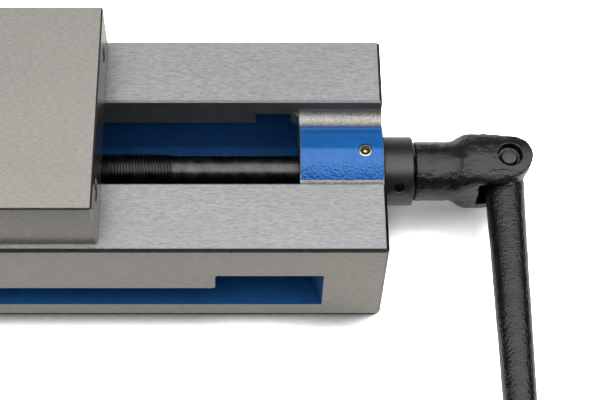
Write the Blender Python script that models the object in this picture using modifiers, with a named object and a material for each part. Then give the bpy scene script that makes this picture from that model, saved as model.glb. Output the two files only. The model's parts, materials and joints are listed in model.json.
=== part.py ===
"""Machine vise with a ground bed, a pull-down movable jaw, a lead screw and a swing handle.

Units are metres. The origin is the middle of the bed's underside. X runs along the screw
towards the handle, Y runs across the two ways, and Z points up.
"""
import math

import bmesh
import bpy
from mathutils import Matrix, Vector

# Seating and running gap between neighbouring pieces
GAP = 0.0003

# How far a cutter runs past the face that it opens
OVERCUT = 0.001

# Drawn size of the empties that mark the joints
MARKER_SIZE = 0.02

# Bed
BED_LENGTH = 0.440
BED_WIDTH = 0.150
BED_HEIGHT = 0.085
BED_CHAMFER = 0.0018
SLOT_WIDTH = 0.058
SLOT_CHAMFER = 0.0012
SLOT_FROM_JAW_END = 0.060
RAIL_DEPTH = 0.024
THIN_RAIL_DEPTH = 0.014
THIN_RAIL_BEFORE_BLOCK = 0.027
THIN_RAIL_LENGTH = 0.022
CAVITY_WIDTH = 0.080
CAVITY_FLOOR = 0.0135
KEY_SEAT_FROM_END = 0.100
KEY_SEAT_LENGTH = 0.040
KEY_SEAT_WIDTH = 0.016
KEY_SEAT_DEPTH = 0.006

# Clamping pockets in both sides of the bed
POCKET_FROM_END = 0.0367
TALL_POCKET_LENGTH = 0.0659
POCKET_DEPTH = 0.024
POCKET_END_SLANT = 0.010
LEDGE_HEIGHT = 0.0145
POCKET_LOW_TOP = 0.037
POCKET_HIGH_TOP = 0.0532

# Bearing block at the handle end of the bed
BLOCK_LENGTH = 0.051
BOSS_RADIUS = 0.0294
COVE_DEPTH = 0.0130
COVE_WIDTH = 0.0095
SCREW_BELOW_WAY = 0.035

# Lead screw
THREAD_RADIUS = 0.0111
THREAD_FROM_SLOT_END = 0.012
PLAIN_SHANK_LENGTH = 0.0774
SHANK_RADIUS = 0.0096
FLANGE_RADIUS = 0.0155
FLANGE_WIDTH = 0.005
HEX_ACROSS_FLATS = 0.0160
HEX_LENGTH = 0.029
SCREW_END_CHAMFER = 0.0015

# Thrust bearing, bush and seal inside the block
BEARING_SEAT_RADIUS = 0.017
BEARING_SEAT_DEPTH = 0.024
WASHER_WIDTH = 0.002
ROLLER_CAGE_WIDTH = 0.003
SEAL_WIDTH = 0.004
BUSH_WALL = 0.003

# Collar outside the block
COLLAR_RADIUS = 0.0215
COLLAR_WIDTH = 0.0185
COLLAR_EDGE = 0.0009
COLLAR_SCREW_RADIUS = 0.0030
COLLAR_SCREW_LENGTH = 0.0085
COLLAR_SCREW_SUNK = 0.0015
COLLAR_SOCKET_RADIUS = 0.00165
COLLAR_SOCKET_DEPTH = 0.0030
COLLAR_SCREW_ANGLE = math.radians(30.5)

# Ball oiler on top of the boss
OILER_FROM_END = 0.0113
OILER_Y = -0.0023
OILER_RADIUS = 0.0041
OILER_LENGTH = 0.0075
OILER_FACE_RADIUS = 0.0046
OILER_BALL_RADIUS = 0.0018
OILER_BALL_PROUD = 0.0004
OILER_THROAT_RADIUS = 0.0016
OILER_WIRE_RADIUS = 0.00022
OILER_SPRING_TURNS = 5
OIL_PASSAGE_RADIUS = 0.0013

# Handle head with its fork
NECK_GAP = 0.0012
HEAD_RADIUS = 0.0186
HEAD_TUBE_LENGTH = 0.0217
FLARE_LENGTH = 0.0124
FORK_HALF_WIDTH = 0.0175
FORK_RADIUS = 0.0252
PIN_FROM_HEAD = 0.0573
EAR_RADIUS = 0.0140
FORK_SLOT_HEIGHT = 0.0270
FORK_SLOT_ROOT = 0.0175
PIN_RADIUS = 0.00475
PIN_RECESS_RADIUS = 0.0070
PIN_RECESS_DEPTH = 0.0046
PIN_PROUD = 0.0005
PIN_EDGE = 0.0006
HEAD_RIM = 0.0010
HANDLE_TILT = math.radians(5.0)

# Handle arm
ARM_LENGTH = 0.245
ARM_EYE_RADIUS = 0.0130
ARM_ROOT_RADIUS = 0.0125
ARM_ROOT_AT = 0.0078
ARM_SHOULDER_AT = 0.047
ARM_SHOULDER_RADIUS = 0.0114
ARM_END_RADIUS = 0.0088
ARM_SETBACK = 0.0009

# Jaws
JAW_INSET = 0.0045
JAW_HEIGHT = 0.0418
JAW_CHAMFER = 0.0010
MOVABLE_JAW_FROM_BLOCK = 0.1195
MOVABLE_JAW_LENGTH = 0.080
FIXED_JAW_LENGTH = 0.046
FIXED_JAW_SETBACK = 0.002
PLATE_THICKNESS = 0.016
PLATE_HEIGHT = 0.0415
PLATE_CHAMFER = 0.0008
PLATE_SCREW_FROM_SIDE = 0.02285
SCREW_ABOVE_WAY = 0.0235
REAR_HOLE_DEPTH = 0.026
PLATE_SCREW_RADIUS = 0.0060
PLATE_SCREW_HEAD_RADIUS = 0.0090
PLATE_SCREW_HEAD = 0.0120
PLATE_SCREW_REACH = 0.020
TONGUE_INSET = 0.004

# Bolts and key that hold the fixed jaw
JAW_BOLT_FROM_SIDE = 0.0425
JAW_BOLT_RADIUS = 0.0079
JAW_BOLT_HEAD_RADIUS = 0.0120
JAW_BOLT_HEAD = 0.0160
JAW_BOLT_REACH = 0.026
JAW_BOLT_SUNK = 0.003
KEY_WIDTH = 0.016
KEY_HALF_HEIGHT = 0.005
KEY_BOLT_CLEARANCE = 0.0021

# Slide nut and pull-down segment
NUT_LENGTH = 0.068
NUT_REAR_INSET = 0.009
NUT_HALF_WIDTH = 0.017
NOSE_HALF_WIDTH = 0.016
NUT_HALF_HEIGHT = 0.016
NUT_FLANGE_WIDTH = 0.077
NUT_FLANGE_THICKNESS = 0.0105
NUT_FLANGE_INSET = 0.001
NUT_THREAD_CLEARANCE = 0.00035
NOSE_START = 0.016
NOSE_LENGTH = 0.028
NOSE_HEEL_BELOW_WAY = 0.011
NOSE_OVERHANG = 0.018
NOSE_ABOVE_WAY = 0.012
NOSE_ROOM = 0.0010
SEGMENT_RADIUS = 0.0090

# Number of sides on turned and drilled shapes
LARGE_SIDES = 48
SMALL_SIDES = 24

# Places worked out from the sizes
BED_END_X = BED_LENGTH / 2
SCREW_HEIGHT = BED_HEIGHT - SCREW_BELOW_WAY
BLOCK_X = BED_END_X - BLOCK_LENGTH
SLOT_START_X = SLOT_FROM_JAW_END - BED_END_X
THIN_RAIL_START_X = BLOCK_X - THIN_RAIL_BEFORE_BLOCK
KEY_SEAT_X = BED_END_X - KEY_SEAT_FROM_END
POCKET_REACH_X = BED_END_X - POCKET_FROM_END
POCKET_STEP_X = POCKET_REACH_X - TALL_POCKET_LENGTH
THREAD_START_X = SLOT_START_X + THREAD_FROM_SLOT_END
THREAD_END_X = BLOCK_X - PLAIN_SHANK_LENGTH
OILER_X = BED_END_X - OILER_FROM_END
SLOT_HALF = SLOT_WIDTH / 2
RAIL_UNDERSIDE = BED_HEIGHT - RAIL_DEPTH
BEARING_SEAT_X = BLOCK_X + BEARING_SEAT_DEPTH
BUSH_RADIUS = SHANK_RADIUS + GAP + BUSH_WALL
COLLAR_X = BED_END_X + GAP + GAP
HEAD_X = COLLAR_X + COLLAR_WIDTH + NECK_GAP
PIN_X = HEAD_X + PIN_FROM_HEAD
JAW_BASE = BED_HEIGHT + GAP
JAW_TOP = BED_HEIGHT + JAW_HEIGHT
JAW_WIDTH = BED_WIDTH - 2 * JAW_INSET
SCREW_SPACING = JAW_WIDTH - 2 * PLATE_SCREW_FROM_SIDE
JAW_BOLT_SPACING = JAW_WIDTH - 2 * JAW_BOLT_FROM_SIDE
KEY_LENGTH = JAW_BOLT_SPACING - 2 * (JAW_BOLT_RADIUS + KEY_BOLT_CLEARANCE)
PLATE_WIDTH = BED_WIDTH
JAW_SCREW_Z = BED_HEIGHT + SCREW_ABOVE_WAY
FIXED_JAW_REAR_X = FIXED_JAW_SETBACK - BED_END_X
FIXED_JAW_FRONT_X = FIXED_JAW_REAR_X + FIXED_JAW_LENGTH
MOVABLE_JAW_REAR_X = BLOCK_X - MOVABLE_JAW_FROM_BLOCK
MOVABLE_JAW_FRONT_X = MOVABLE_JAW_REAR_X - MOVABLE_JAW_LENGTH
NUT_REAR_X = MOVABLE_JAW_REAR_X - NUT_REAR_INSET
NUT_FRONT_X = NUT_REAR_X - NUT_LENGTH
NUT_BOTTOM = SCREW_HEIGHT - NUT_HALF_HEIGHT
NUT_CROWN = SCREW_HEIGHT + NUT_HALF_HEIGHT
NOSE_HEEL = BED_HEIGHT - NOSE_HEEL_BELOW_WAY
NOSE_TOP = BED_HEIGHT + NOSE_ABOVE_WAY


# Scene and materials

def clear_scene():
    """Remove whatever the file held before."""
    for old in list(bpy.data.objects):
        bpy.data.objects.remove(old, do_unlink=True)


def collection_named(name):
    """Return a new collection linked to the scene."""
    group = bpy.data.collections.new(name)
    bpy.context.scene.collection.children.link(group)
    return group


def material_named(name, colour, roughness, metallic):
    """Make a plain Principled material."""
    material = bpy.data.materials.new(name)
    material.use_nodes = True
    shader = material.node_tree.nodes["Principled BSDF"]
    shader.inputs["Base Color"].default_value = (*colour, 1.0)
    shader.inputs["Roughness"].default_value = roughness
    shader.inputs["Metallic"].default_value = metallic
    return material


def ground_steel(name):
    """Cool grey steel with a ground face."""
    return material_named(name, (0.42, 0.42, 0.43), 0.32, 1.0)


def black_oxide(name):
    """Satin black steel."""
    return material_named(name, (0.035, 0.035, 0.038), 0.42, 0.6)


def bright_steel(name):
    """Turned steel, a little brighter than the ground faces."""
    return material_named(name, (0.55, 0.55, 0.56), 0.25, 1.0)


# Building blocks

def add_object(name, mesh, group, place=None):
    """Put a mesh in the scene as one object."""
    shape = bpy.data.objects.new(name, mesh)
    group.objects.link(shape)
    if place is not None:
        shape.matrix_world = place
    return shape


def mesh_from(name, working):
    """Turn a working mesh into a stored one, faces pointing out."""
    bmesh.ops.recalc_face_normals(working, faces=working.faces)
    mesh = bpy.data.meshes.new(name)
    working.to_mesh(mesh)
    working.free()
    return mesh


def box(name, group, x, y, z):
    """Box between the low and high ends given for each axis."""
    working = bmesh.new()
    bmesh.ops.create_cube(working, size=1.0)
    size = Vector((x[1] - x[0], y[1] - y[0], z[1] - z[0]))
    centre = Vector((x[0] + x[1], y[0] + y[1], z[0] + z[1])) / 2
    bmesh.ops.scale(working, vec=size, verts=working.verts)
    bmesh.ops.translate(working, vec=centre, verts=working.verts)
    return add_object(name, mesh_from(name, working), group)


def rod(name, group, place, radius, low, high, sides=SMALL_SIDES):
    """Straight rod along the local Z axis of a place."""
    working = bmesh.new()
    bmesh.ops.create_cone(working, cap_ends=True, segments=sides, radius1=radius,
                          radius2=radius, depth=high - low)
    bmesh.ops.translate(working, vec=Vector((0, 0, (low + high) / 2)), verts=working.verts)
    return add_object(name, mesh_from(name, working), group, place)


def turned(name, group, place, profile, closed=False, sides=LARGE_SIDES):
    """Profile of (along, radius), from the high end down, turned about local Z."""
    mesh = bpy.data.meshes.new(name)
    points = [(radius, 0.0, along) for along, radius in profile]
    edges = [(i, i + 1) for i in range(len(points) - 1)]
    if closed:
        edges.append((len(points) - 1, 0))
    mesh.from_pydata(points, edges, [])
    shape = add_object(name, mesh, group, place)
    screw = shape.modifiers.new("Turn", 'SCREW')
    screw.axis = 'Z'
    screw.steps = sides
    screw.render_steps = sides
    screw.use_merge_vertices = True
    screw.merge_threshold = 0.00001
    screw.use_smooth_shade = True
    return shape


def ring(name, group, place, outer, inner, low, high, edge=0.0, sides=LARGE_SIDES):
    """Turned ring with a small chamfer on its outer edges."""
    profile = [(high, outer - edge), (high - edge, outer), (low + edge, outer), (low, outer - edge),
               (low, inner), (high, inner)]
    if edge == 0.0:
        profile = [(high, outer), (low, outer), (low, inner), (high, inner)]
    return turned(name, group, place, profile, closed=True, sides=sides)


PLANES = {
    "XY": Matrix.Identity(4),
    "XZ": Matrix(((1, 0, 0, 0), (0, 0, -1, 0), (0, 1, 0, 0), (0, 0, 0, 1))),
    "YZ": Matrix(((0, 0, 1, 0), (1, 0, 0, 0), (0, 1, 0, 0), (0, 0, 0, 1))),
}


def outline_solid(name, group, plane, outline, low, high):
    """Flat outline in a plane, made solid from low to high across that plane."""
    curve = bpy.data.curves.new(name, 'CURVE')
    curve.dimensions = '2D'
    curve.fill_mode = 'BOTH'
    curve.extrude = (high - low) / 2
    spline = curve.splines.new('POLY')
    spline.points.add(len(outline) - 1)
    for point, (u, v) in zip(spline.points, outline):
        point.co = (u, v, 0.0, 1.0)
    spline.use_cyclic_u = True
    middle = (low + high) / 2
    if plane == "XZ":
        middle = -middle
    drawn = add_object(name, curve, group, PLANES[plane] @ Matrix.Translation((0, 0, middle)))
    return curve_as_mesh(drawn, group)


def curve_as_mesh(drawn, group):
    """Swap a curve object for a closed mesh object of the same shape."""
    bpy.context.view_layer.update()
    evaluated = drawn.evaluated_get(bpy.context.evaluated_depsgraph_get())
    mesh = bpy.data.meshes.new_from_object(evaluated)
    working = bmesh.new()
    working.from_mesh(mesh)
    bmesh.ops.remove_doubles(working, verts=working.verts, dist=0.00001)
    bmesh.ops.dissolve_limit(working, angle_limit=0.001, verts=working.verts, edges=working.edges)
    bmesh.ops.recalc_face_normals(working, faces=working.faces)
    working.to_mesh(mesh)
    working.free()
    name = drawn.name
    place = drawn.matrix_world.copy()
    bpy.data.objects.remove(drawn, do_unlink=True)
    return add_object(name, mesh, group, place)


def boolean(shape, tool, operation):
    """Cut, join or intersect a shape with a tool that stays out of sight."""
    change = shape.modifiers.new(tool.name, 'BOOLEAN')
    change.operation = operation
    change.object = tool
    change.solver = 'EXACT'
    tool.hide_render = True
    tool.display_type = 'WIRE'


def cut(shape, *tools):
    """Take every tool's shape out of a piece."""
    for tool in tools:
        boolean(shape, tool, 'DIFFERENCE')


def join(shape, *tools):
    """Unite every tool's shape with a piece."""
    for tool in tools:
        boolean(shape, tool, 'UNION')


def chamfer(shape, width):
    """Break the sharp edges of a piece."""
    bevel = shape.modifiers.new("Edges", 'BEVEL')
    bevel.width = width
    bevel.segments = 1
    bevel.limit_method = 'ANGLE'
    bevel.angle_limit = math.radians(40)


def finish(shape, material, smooth=False):
    """Give a piece its material and its shading."""
    shape.data.materials.clear()
    shape.data.materials.append(material)
    if smooth:
        shape.data.shade_smooth()
        if len(shape.data.polygons) > 0:
            shape.data.set_sharp_from_angle(angle=math.radians(35))
    return shape


def axis_x(height=SCREW_HEIGHT, y=0.0):
    """Place whose local Z runs along X at a height."""
    return Matrix.Translation((0, y, height)) @ Matrix.Rotation(math.pi / 2, 4, 'Y')


def axis_z(x, y, z=0.0):
    """Place whose local Z points up."""
    return Matrix.Translation((x, y, z))


def hang_on(axis, *pieces):
    """Parent pieces to the empty on their joint's axis."""
    bpy.context.view_layer.update()
    for piece in pieces:
        piece.parent = axis
        piece.matrix_parent_inverse = axis.matrix_world.inverted()


def axis_empty(name, group, place):
    """Empty that marks a joint's axis."""
    marker = bpy.data.objects.new(name, None)
    marker.empty_display_size = MARKER_SIZE
    group.objects.link(marker)
    marker.matrix_world = place
    return marker


# Bed

def slot_outline(wall_bottom):
    """Bed slot across the ways, with the chamfers of its top edges."""
    over = BED_HEIGHT + 2 * OVERCUT
    mouth = SLOT_HALF + SLOT_CHAMFER
    right = [(SLOT_HALF, wall_bottom), (SLOT_HALF, BED_HEIGHT - SLOT_CHAMFER),
             (mouth, BED_HEIGHT), (mouth, over)]
    left = [(-y, z) for y, z in reversed(right)]
    return right + left


def cove_outline():
    """Space over the boss and its coves, between the two ways."""
    floor = BED_HEIGHT - COVE_DEPTH
    foot = SLOT_HALF - COVE_WIDTH
    upper = slot_outline(floor)
    start = math.atan2(floor - SCREW_HEIGHT, foot)
    steps = 12
    arc = []
    for step in range(steps + 1):
        angle = math.pi - start + (2 * start - math.pi) * step / steps
        arc.append((BOSS_RADIUS * math.cos(angle), SCREW_HEIGHT + BOSS_RADIUS * math.sin(angle)))
    return upper + arc


def pocket_outline(low_x, high_x, side):
    """Plan of a side pocket, whose end walls slant inwards."""
    outside = BED_WIDTH / 2 + OVERCUT
    inside = BED_WIDTH / 2 - POCKET_DEPTH
    plan = [(low_x, outside), (high_x, outside), (high_x - POCKET_END_SLANT, inside),
            (low_x + POCKET_END_SLANT, inside)]
    return [(x, side * y) for x, y in plan]


def side_pockets(tools):
    """Low pocket along each side, with a taller one at each end."""
    cutters = []
    for side, label in ((-1, "front"), (1, "back")):
        low = pocket_outline(-POCKET_REACH_X, POCKET_REACH_X, side)
        cutters.append(outline_solid(f"cut_pocket_{label}", tools, "XY", low, LEDGE_HEIGHT, POCKET_LOW_TOP))
        for end in (-1, 1):
            reach = sorted((end * POCKET_STEP_X, end * POCKET_REACH_X))
            plan = pocket_outline(reach[0], reach[1], side)
            inner = 0 if end > 0 else 1
            deep = 3 if end > 0 else 2
            plan[deep] = (plan[inner][0], plan[deep][1])
            name = f"cut_tall_pocket_{label}_{'handle' if end > 0 else 'jaw'}_end"
            cutters.append(outline_solid(name, tools, "XY", plan, LEDGE_HEIGHT + OVERCUT, POCKET_HIGH_TOP))
    return cutters


def bed_hollows(tools):
    """Slot between the ways and the wider hollow under them."""
    slot = outline_solid("cut_slot", tools, "YZ", slot_outline(CAVITY_FLOOR + OVERCUT), SLOT_START_X, BLOCK_X)
    half = CAVITY_WIDTH / 2
    hollow = box("cut_hollow", tools, (SLOT_START_X, BLOCK_X), (-half, half), (CAVITY_FLOOR, RAIL_UNDERSIDE))
    thin_x = (THIN_RAIL_START_X, THIN_RAIL_START_X + THIN_RAIL_LENGTH)
    thin_z = (RAIL_UNDERSIDE - OVERCUT, BED_HEIGHT - THIN_RAIL_DEPTH)
    thin = box("cut_thin_rail", tools, thin_x, (-half, half), thin_z)
    coves = outline_solid("cut_coves", tools, "YZ", cove_outline(), BLOCK_X - OVERCUT, BED_END_X + OVERCUT)
    return [slot, hollow, thin, coves]


def block_bores(tools):
    """Bearing seat, bush bore, oiler hole and oil passage of the block."""
    seat = rod("cut_bearing_seat", tools, axis_x(), BEARING_SEAT_RADIUS, BLOCK_X - OVERCUT, BEARING_SEAT_X,
               LARGE_SIDES)
    bush = rod("cut_bush_bore", tools, axis_x(), BUSH_RADIUS + GAP, BEARING_SEAT_X - OVERCUT,
               BED_END_X + OVERCUT, LARGE_SIDES)
    at_oiler = axis_z(OILER_X, OILER_Y)
    bottom = oiler_face() - OILER_LENGTH
    hole = rod("cut_oiler_hole", tools, at_oiler, OILER_RADIUS + GAP, bottom - GAP, BED_HEIGHT)
    face = rod("cut_oiler_face", tools, at_oiler, OILER_FACE_RADIUS, oiler_face(), BED_HEIGHT + OVERCUT)
    passage = rod("cut_oil_passage", tools, at_oiler, OIL_PASSAGE_RADIUS,
                  SCREW_HEIGHT + BUSH_RADIUS - OVERCUT, bottom)
    return [seat, bush, hole, face, passage]


def oiler_face():
    """Height of the small flat that the oiler is pressed into."""
    reach = abs(OILER_Y) + OILER_FACE_RADIUS
    return SCREW_HEIGHT + math.sqrt(BOSS_RADIUS ** 2 - reach ** 2)


def jaw_seat(tools):
    """Cross groove and tapped holes under the fixed jaw."""
    middle = fixed_jaw_middle()
    half = KEY_WIDTH / 2 + GAP
    length = KEY_LENGTH / 2 + GAP
    groove = box("cut_key_groove", tools, (middle - half, middle + half), (-length, length),
                 (BED_HEIGHT - KEY_HALF_HEIGHT - GAP, BED_HEIGHT + OVERCUT))
    cutters = [groove]
    for side, label in ((-1, "front"), (1, "back")):
        at_bolt = axis_z(middle, side * JAW_BOLT_SPACING / 2)
        cutters.append(rod(f"cut_bolt_hole_{label}", tools, at_bolt, JAW_BOLT_RADIUS + GAP,
                           BED_HEIGHT - JAW_BOLT_REACH - 2 * OVERCUT, BED_HEIGHT + OVERCUT))
    return cutters


def fixed_jaw_middle():
    """Line across the bed that the fixed jaw's bolts stand on."""
    return (FIXED_JAW_REAR_X + FIXED_JAW_FRONT_X) / 2


def key_seats(tools):
    """Seats in the underside for table keys."""
    cutters = []
    half = KEY_SEAT_WIDTH / 2
    for end in (-1, 1):
        middle = end * KEY_SEAT_X
        cutters.append(box(f"cut_key_seat_{'jaw' if end < 0 else 'handle'}_end", tools,
                           (middle - KEY_SEAT_LENGTH / 2, middle + KEY_SEAT_LENGTH / 2), (-half, half),
                           (-OVERCUT, KEY_SEAT_DEPTH)))
    return cutters


def make_bed(parts, tools):
    """Bed casting with its ways, pockets, bearing block and bores."""
    bed = box("body", parts, (-BED_END_X, BED_END_X), (-BED_WIDTH / 2, BED_WIDTH / 2), (0.0, BED_HEIGHT))
    chamfer(bed, BED_CHAMFER)
    cut(bed, *bed_hollows(tools), *side_pockets(tools), *block_bores(tools))
    cut(bed, *jaw_seat(tools), *key_seats(tools))
    return finish(bed, ground_steel("bed_ground_steel"))


# Bolts and screws

def socket_screw(name, parts, tools, place, radius, head_radius, head, reach, colour):
    """Cap screw: local Z points out of its head and its head's underside is at zero."""
    edge = head_radius * 0.12
    profile = [(head, 0.0), (head, head_radius - edge), (head - edge, head_radius), (0.0, head_radius),
               (0.0, radius), (edge - reach, radius), (-reach, radius - edge), (-reach, 0.0)]
    screw = turned(name, parts, place, profile, sides=SMALL_SIDES)
    socket = rod(f"cut_{name}_socket", tools, place, head_radius * 0.6, head * 0.45, head + OVERCUT, 6)
    cut(screw, socket)
    return finish(screw, colour)


def facing_x(direction, y, z, x):
    """Place at a point whose local Z points along plus or minus X."""
    turn = Matrix.Rotation(direction * math.pi / 2, 4, 'Y')
    return Matrix.Translation((x, y, z)) @ turn


def plate_holes(name, plate, tools, face_x, direction):
    """Counterbored holes of a jaw plate, whose face looks along a direction."""
    for side, label in ((-1, "front"), (1, "back")):
        place = facing_x(direction, side * SCREW_SPACING / 2, JAW_SCREW_Z, face_x)
        through = rod(f"cut_{name}_hole_{label}", tools, place, PLATE_SCREW_RADIUS + GAP,
                      -PLATE_THICKNESS - OVERCUT, OVERCUT)
        sink = rod(f"cut_{name}_sink_{label}", tools, place, PLATE_SCREW_HEAD_RADIUS + GAP,
                   -PLATE_SCREW_HEAD - GAP, OVERCUT)
        cut(plate, through, sink)


def plate_screws(name, parts, tools, face_x, direction):
    """The two cap screws that hold a jaw plate."""
    screws = []
    for side, label in ((-1, "front"), (1, "back")):
        seat_x = face_x - direction * PLATE_SCREW_HEAD
        place = facing_x(direction, side * SCREW_SPACING / 2, JAW_SCREW_Z, seat_x)
        reach = PLATE_THICKNESS - PLATE_SCREW_HEAD + PLATE_SCREW_REACH
        screws.append(socket_screw(f"{name}_{label}", parts, tools, place, PLATE_SCREW_RADIUS,
                                   PLATE_SCREW_HEAD_RADIUS, PLATE_SCREW_HEAD - GAP, reach,
                                   black_oxide(f"{name}_{label}_black")))
    return screws


def tapped_holes(name, jaw, tools, face_x, direction, depth):
    """Pair of tapped holes in a jaw's face."""
    for side, label in ((-1, "front"), (1, "back")):
        place = facing_x(direction, side * SCREW_SPACING / 2, JAW_SCREW_Z, face_x)
        cut(jaw, rod(f"cut_{name}_{label}", tools, place, PLATE_SCREW_RADIUS + GAP, -depth, OVERCUT))


# Fixed jaw

def make_plate(name, parts, tools, low_x, direction):
    """Hardened jaw plate on the face of a jaw."""
    plate = box(name, parts, (low_x, low_x + PLATE_THICKNESS), (-PLATE_WIDTH / 2, PLATE_WIDTH / 2),
                (JAW_BASE, JAW_BASE + PLATE_HEIGHT))
    chamfer(plate, PLATE_CHAMFER)
    face_x = low_x + PLATE_THICKNESS if direction > 0 else low_x
    plate_holes(name, plate, tools, face_x, direction)
    return finish(plate, bright_steel(f"{name}_steel")), face_x


def make_fixed_jaw(parts, tools):
    """Fixed jaw, its key, its two bolts, its plate and the plate's screws."""
    jaw = box("fixed_jaw", parts, (FIXED_JAW_REAR_X, FIXED_JAW_FRONT_X), (-JAW_WIDTH / 2, JAW_WIDTH / 2),
              (JAW_BASE, JAW_TOP))
    chamfer(jaw, JAW_CHAMFER)
    middle = fixed_jaw_middle()
    half = KEY_WIDTH / 2
    length = KEY_LENGTH / 2
    groove = box("cut_jaw_key_groove", tools, (middle - half - GAP, middle + half + GAP),
                 (-length - GAP, length + GAP), (JAW_BASE - OVERCUT, JAW_BASE + KEY_HALF_HEIGHT))
    cut(jaw, groove)
    key = box("fixed_jaw_key", parts, (middle - half, middle + half), (-length, length),
              (BED_HEIGHT - KEY_HALF_HEIGHT, JAW_BASE + KEY_HALF_HEIGHT - GAP))
    head_seat = JAW_TOP - JAW_BOLT_SUNK - JAW_BOLT_HEAD
    for side, label in ((-1, "front"), (1, "back")):
        place = axis_z(middle, side * JAW_BOLT_SPACING / 2, head_seat)
        hole = rod(f"cut_jaw_bolt_hole_{label}", tools, place, JAW_BOLT_RADIUS + GAP, -JAW_HEIGHT,
                   JAW_BOLT_HEAD)
        sink = rod(f"cut_jaw_bolt_sink_{label}", tools, place, JAW_BOLT_HEAD_RADIUS + GAP, -GAP,
                   JAW_BOLT_HEAD + JAW_BOLT_SUNK + OVERCUT)
        cut(jaw, hole, sink)
        reach = head_seat - BED_HEIGHT + JAW_BOLT_REACH
        socket_screw(f"fixed_jaw_bolt_{label}", parts, tools, place, JAW_BOLT_RADIUS, JAW_BOLT_HEAD_RADIUS,
                     JAW_BOLT_HEAD, reach, black_oxide(f"jaw_bolt_{label}_black"))
    finish(key, bright_steel("key_steel"))
    finish(jaw, ground_steel("fixed_jaw_ground_steel"))
    face_x = make_plate("fixed_jaw_plate", parts, tools, FIXED_JAW_FRONT_X + GAP, 1)[1]
    tapped_holes("fixed_jaw_tapped", jaw, tools, FIXED_JAW_FRONT_X, 1, PLATE_SCREW_REACH + 2 * OVERCUT)
    plate_screws("fixed_plate_screw", parts, tools, face_x, 1)


# Movable jaw, slide nut and segment

def nose_outline(room):
    """Side view of the nut's nose, whose face leans forwards over the segment."""
    heel_x = NUT_FRONT_X + NOSE_START + NOSE_OVERHANG
    rear_x = heel_x + NOSE_LENGTH + room
    shift = room * math.sqrt(0.5)
    base = NUT_CROWN - 2 * OVERCUT
    heel = NOSE_HEEL
    tip_x = heel_x - NOSE_OVERHANG
    return [(heel_x - 2 * shift, base), (heel_x - 2 * shift, heel), (tip_x - 2 * shift, heel + NOSE_OVERHANG),
            (tip_x - 2 * shift, NOSE_TOP + room), (rear_x, NOSE_TOP + room), (rear_x, base)]


def segment_centre():
    """Middle of the nose's leaning face."""
    x = NUT_FRONT_X + NOSE_START + NOSE_OVERHANG / 2
    z = NOSE_HEEL + NOSE_OVERHANG / 2
    return Vector((x, 0.0, z)) + segment_direction() * GAP


def segment_direction():
    """Way the nose pushes the segment: forwards and down."""
    return Vector((-1.0, 0.0, -1.0)).normalized()


def ball(name, group, centre, radius, sides=SMALL_SIDES):
    """Sphere around a point."""
    working = bmesh.new()
    bmesh.ops.create_uvsphere(working, u_segments=sides, v_segments=sides // 2, radius=radius)
    return add_object(name, mesh_from(name, working), group, Matrix.Translation(centre))


def make_movable_jaw(parts, tools):
    """Movable jaw with its tongue, the room for the nut and its tapped holes."""
    span = (MOVABLE_JAW_FRONT_X, MOVABLE_JAW_REAR_X)
    jaw = box("movable_jaw", parts, span, (-JAW_WIDTH / 2, JAW_WIDTH / 2), (JAW_BASE, JAW_TOP))
    chamfer(jaw, JAW_CHAMFER)
    half = SLOT_HALF - GAP
    tongue_x = (span[0] + TONGUE_INSET, span[1] - TONGUE_INSET)
    tongue = box("join_tongue", tools, tongue_x, (-half, half), (RAIL_UNDERSIDE, JAW_BASE + 2 * OVERCUT))
    join(jaw, tongue)
    inner = NUT_HALF_WIDTH + GAP
    crown = box("cut_nut_crown", tools, (span[0] - OVERCUT, span[1] + OVERCUT), (-inner, inner),
                (RAIL_UNDERSIDE - OVERCUT, NUT_CROWN + GAP))
    nose = outline_solid("cut_nose_room", tools, "XZ", nose_outline(NOSE_ROOM), -inner, inner)
    cup = ball("cut_segment_cup", tools, segment_centre(), SEGMENT_RADIUS + GAP)
    cut(jaw, crown, nose, cup)
    tapped_holes("jaw_rear_tapped", jaw, tools, MOVABLE_JAW_REAR_X, 1, REAR_HOLE_DEPTH)
    tapped_holes("jaw_front_tapped", jaw, tools, MOVABLE_JAW_FRONT_X, -1, PLATE_SCREW_REACH + 2 * OVERCUT)
    return finish(jaw, material_named("movable_jaw_warm_steel", (0.40, 0.38, 0.35), 0.30, 1.0))


def make_segment(parts):
    """Half ball between the nut's nose and the jaw."""
    segment = ball("jaw_segment", parts, segment_centre(), SEGMENT_RADIUS)
    working = bmesh.new()
    working.from_mesh(segment.data)
    sliced = bmesh.ops.bisect_plane(working, geom=working.verts[:] + working.edges[:] + working.faces[:],
                                    plane_co=(0, 0, 0), plane_no=-segment_direction(), clear_outer=True)
    rim = [piece for piece in sliced["geom_cut"] if isinstance(piece, bmesh.types.BMEdge)]
    bmesh.ops.contextual_create(working, geom=rim)
    bmesh.ops.recalc_face_normals(working, faces=working.faces)
    working.to_mesh(segment.data)
    working.free()
    return finish(segment, bright_steel("segment_steel"), smooth=True)


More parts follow.
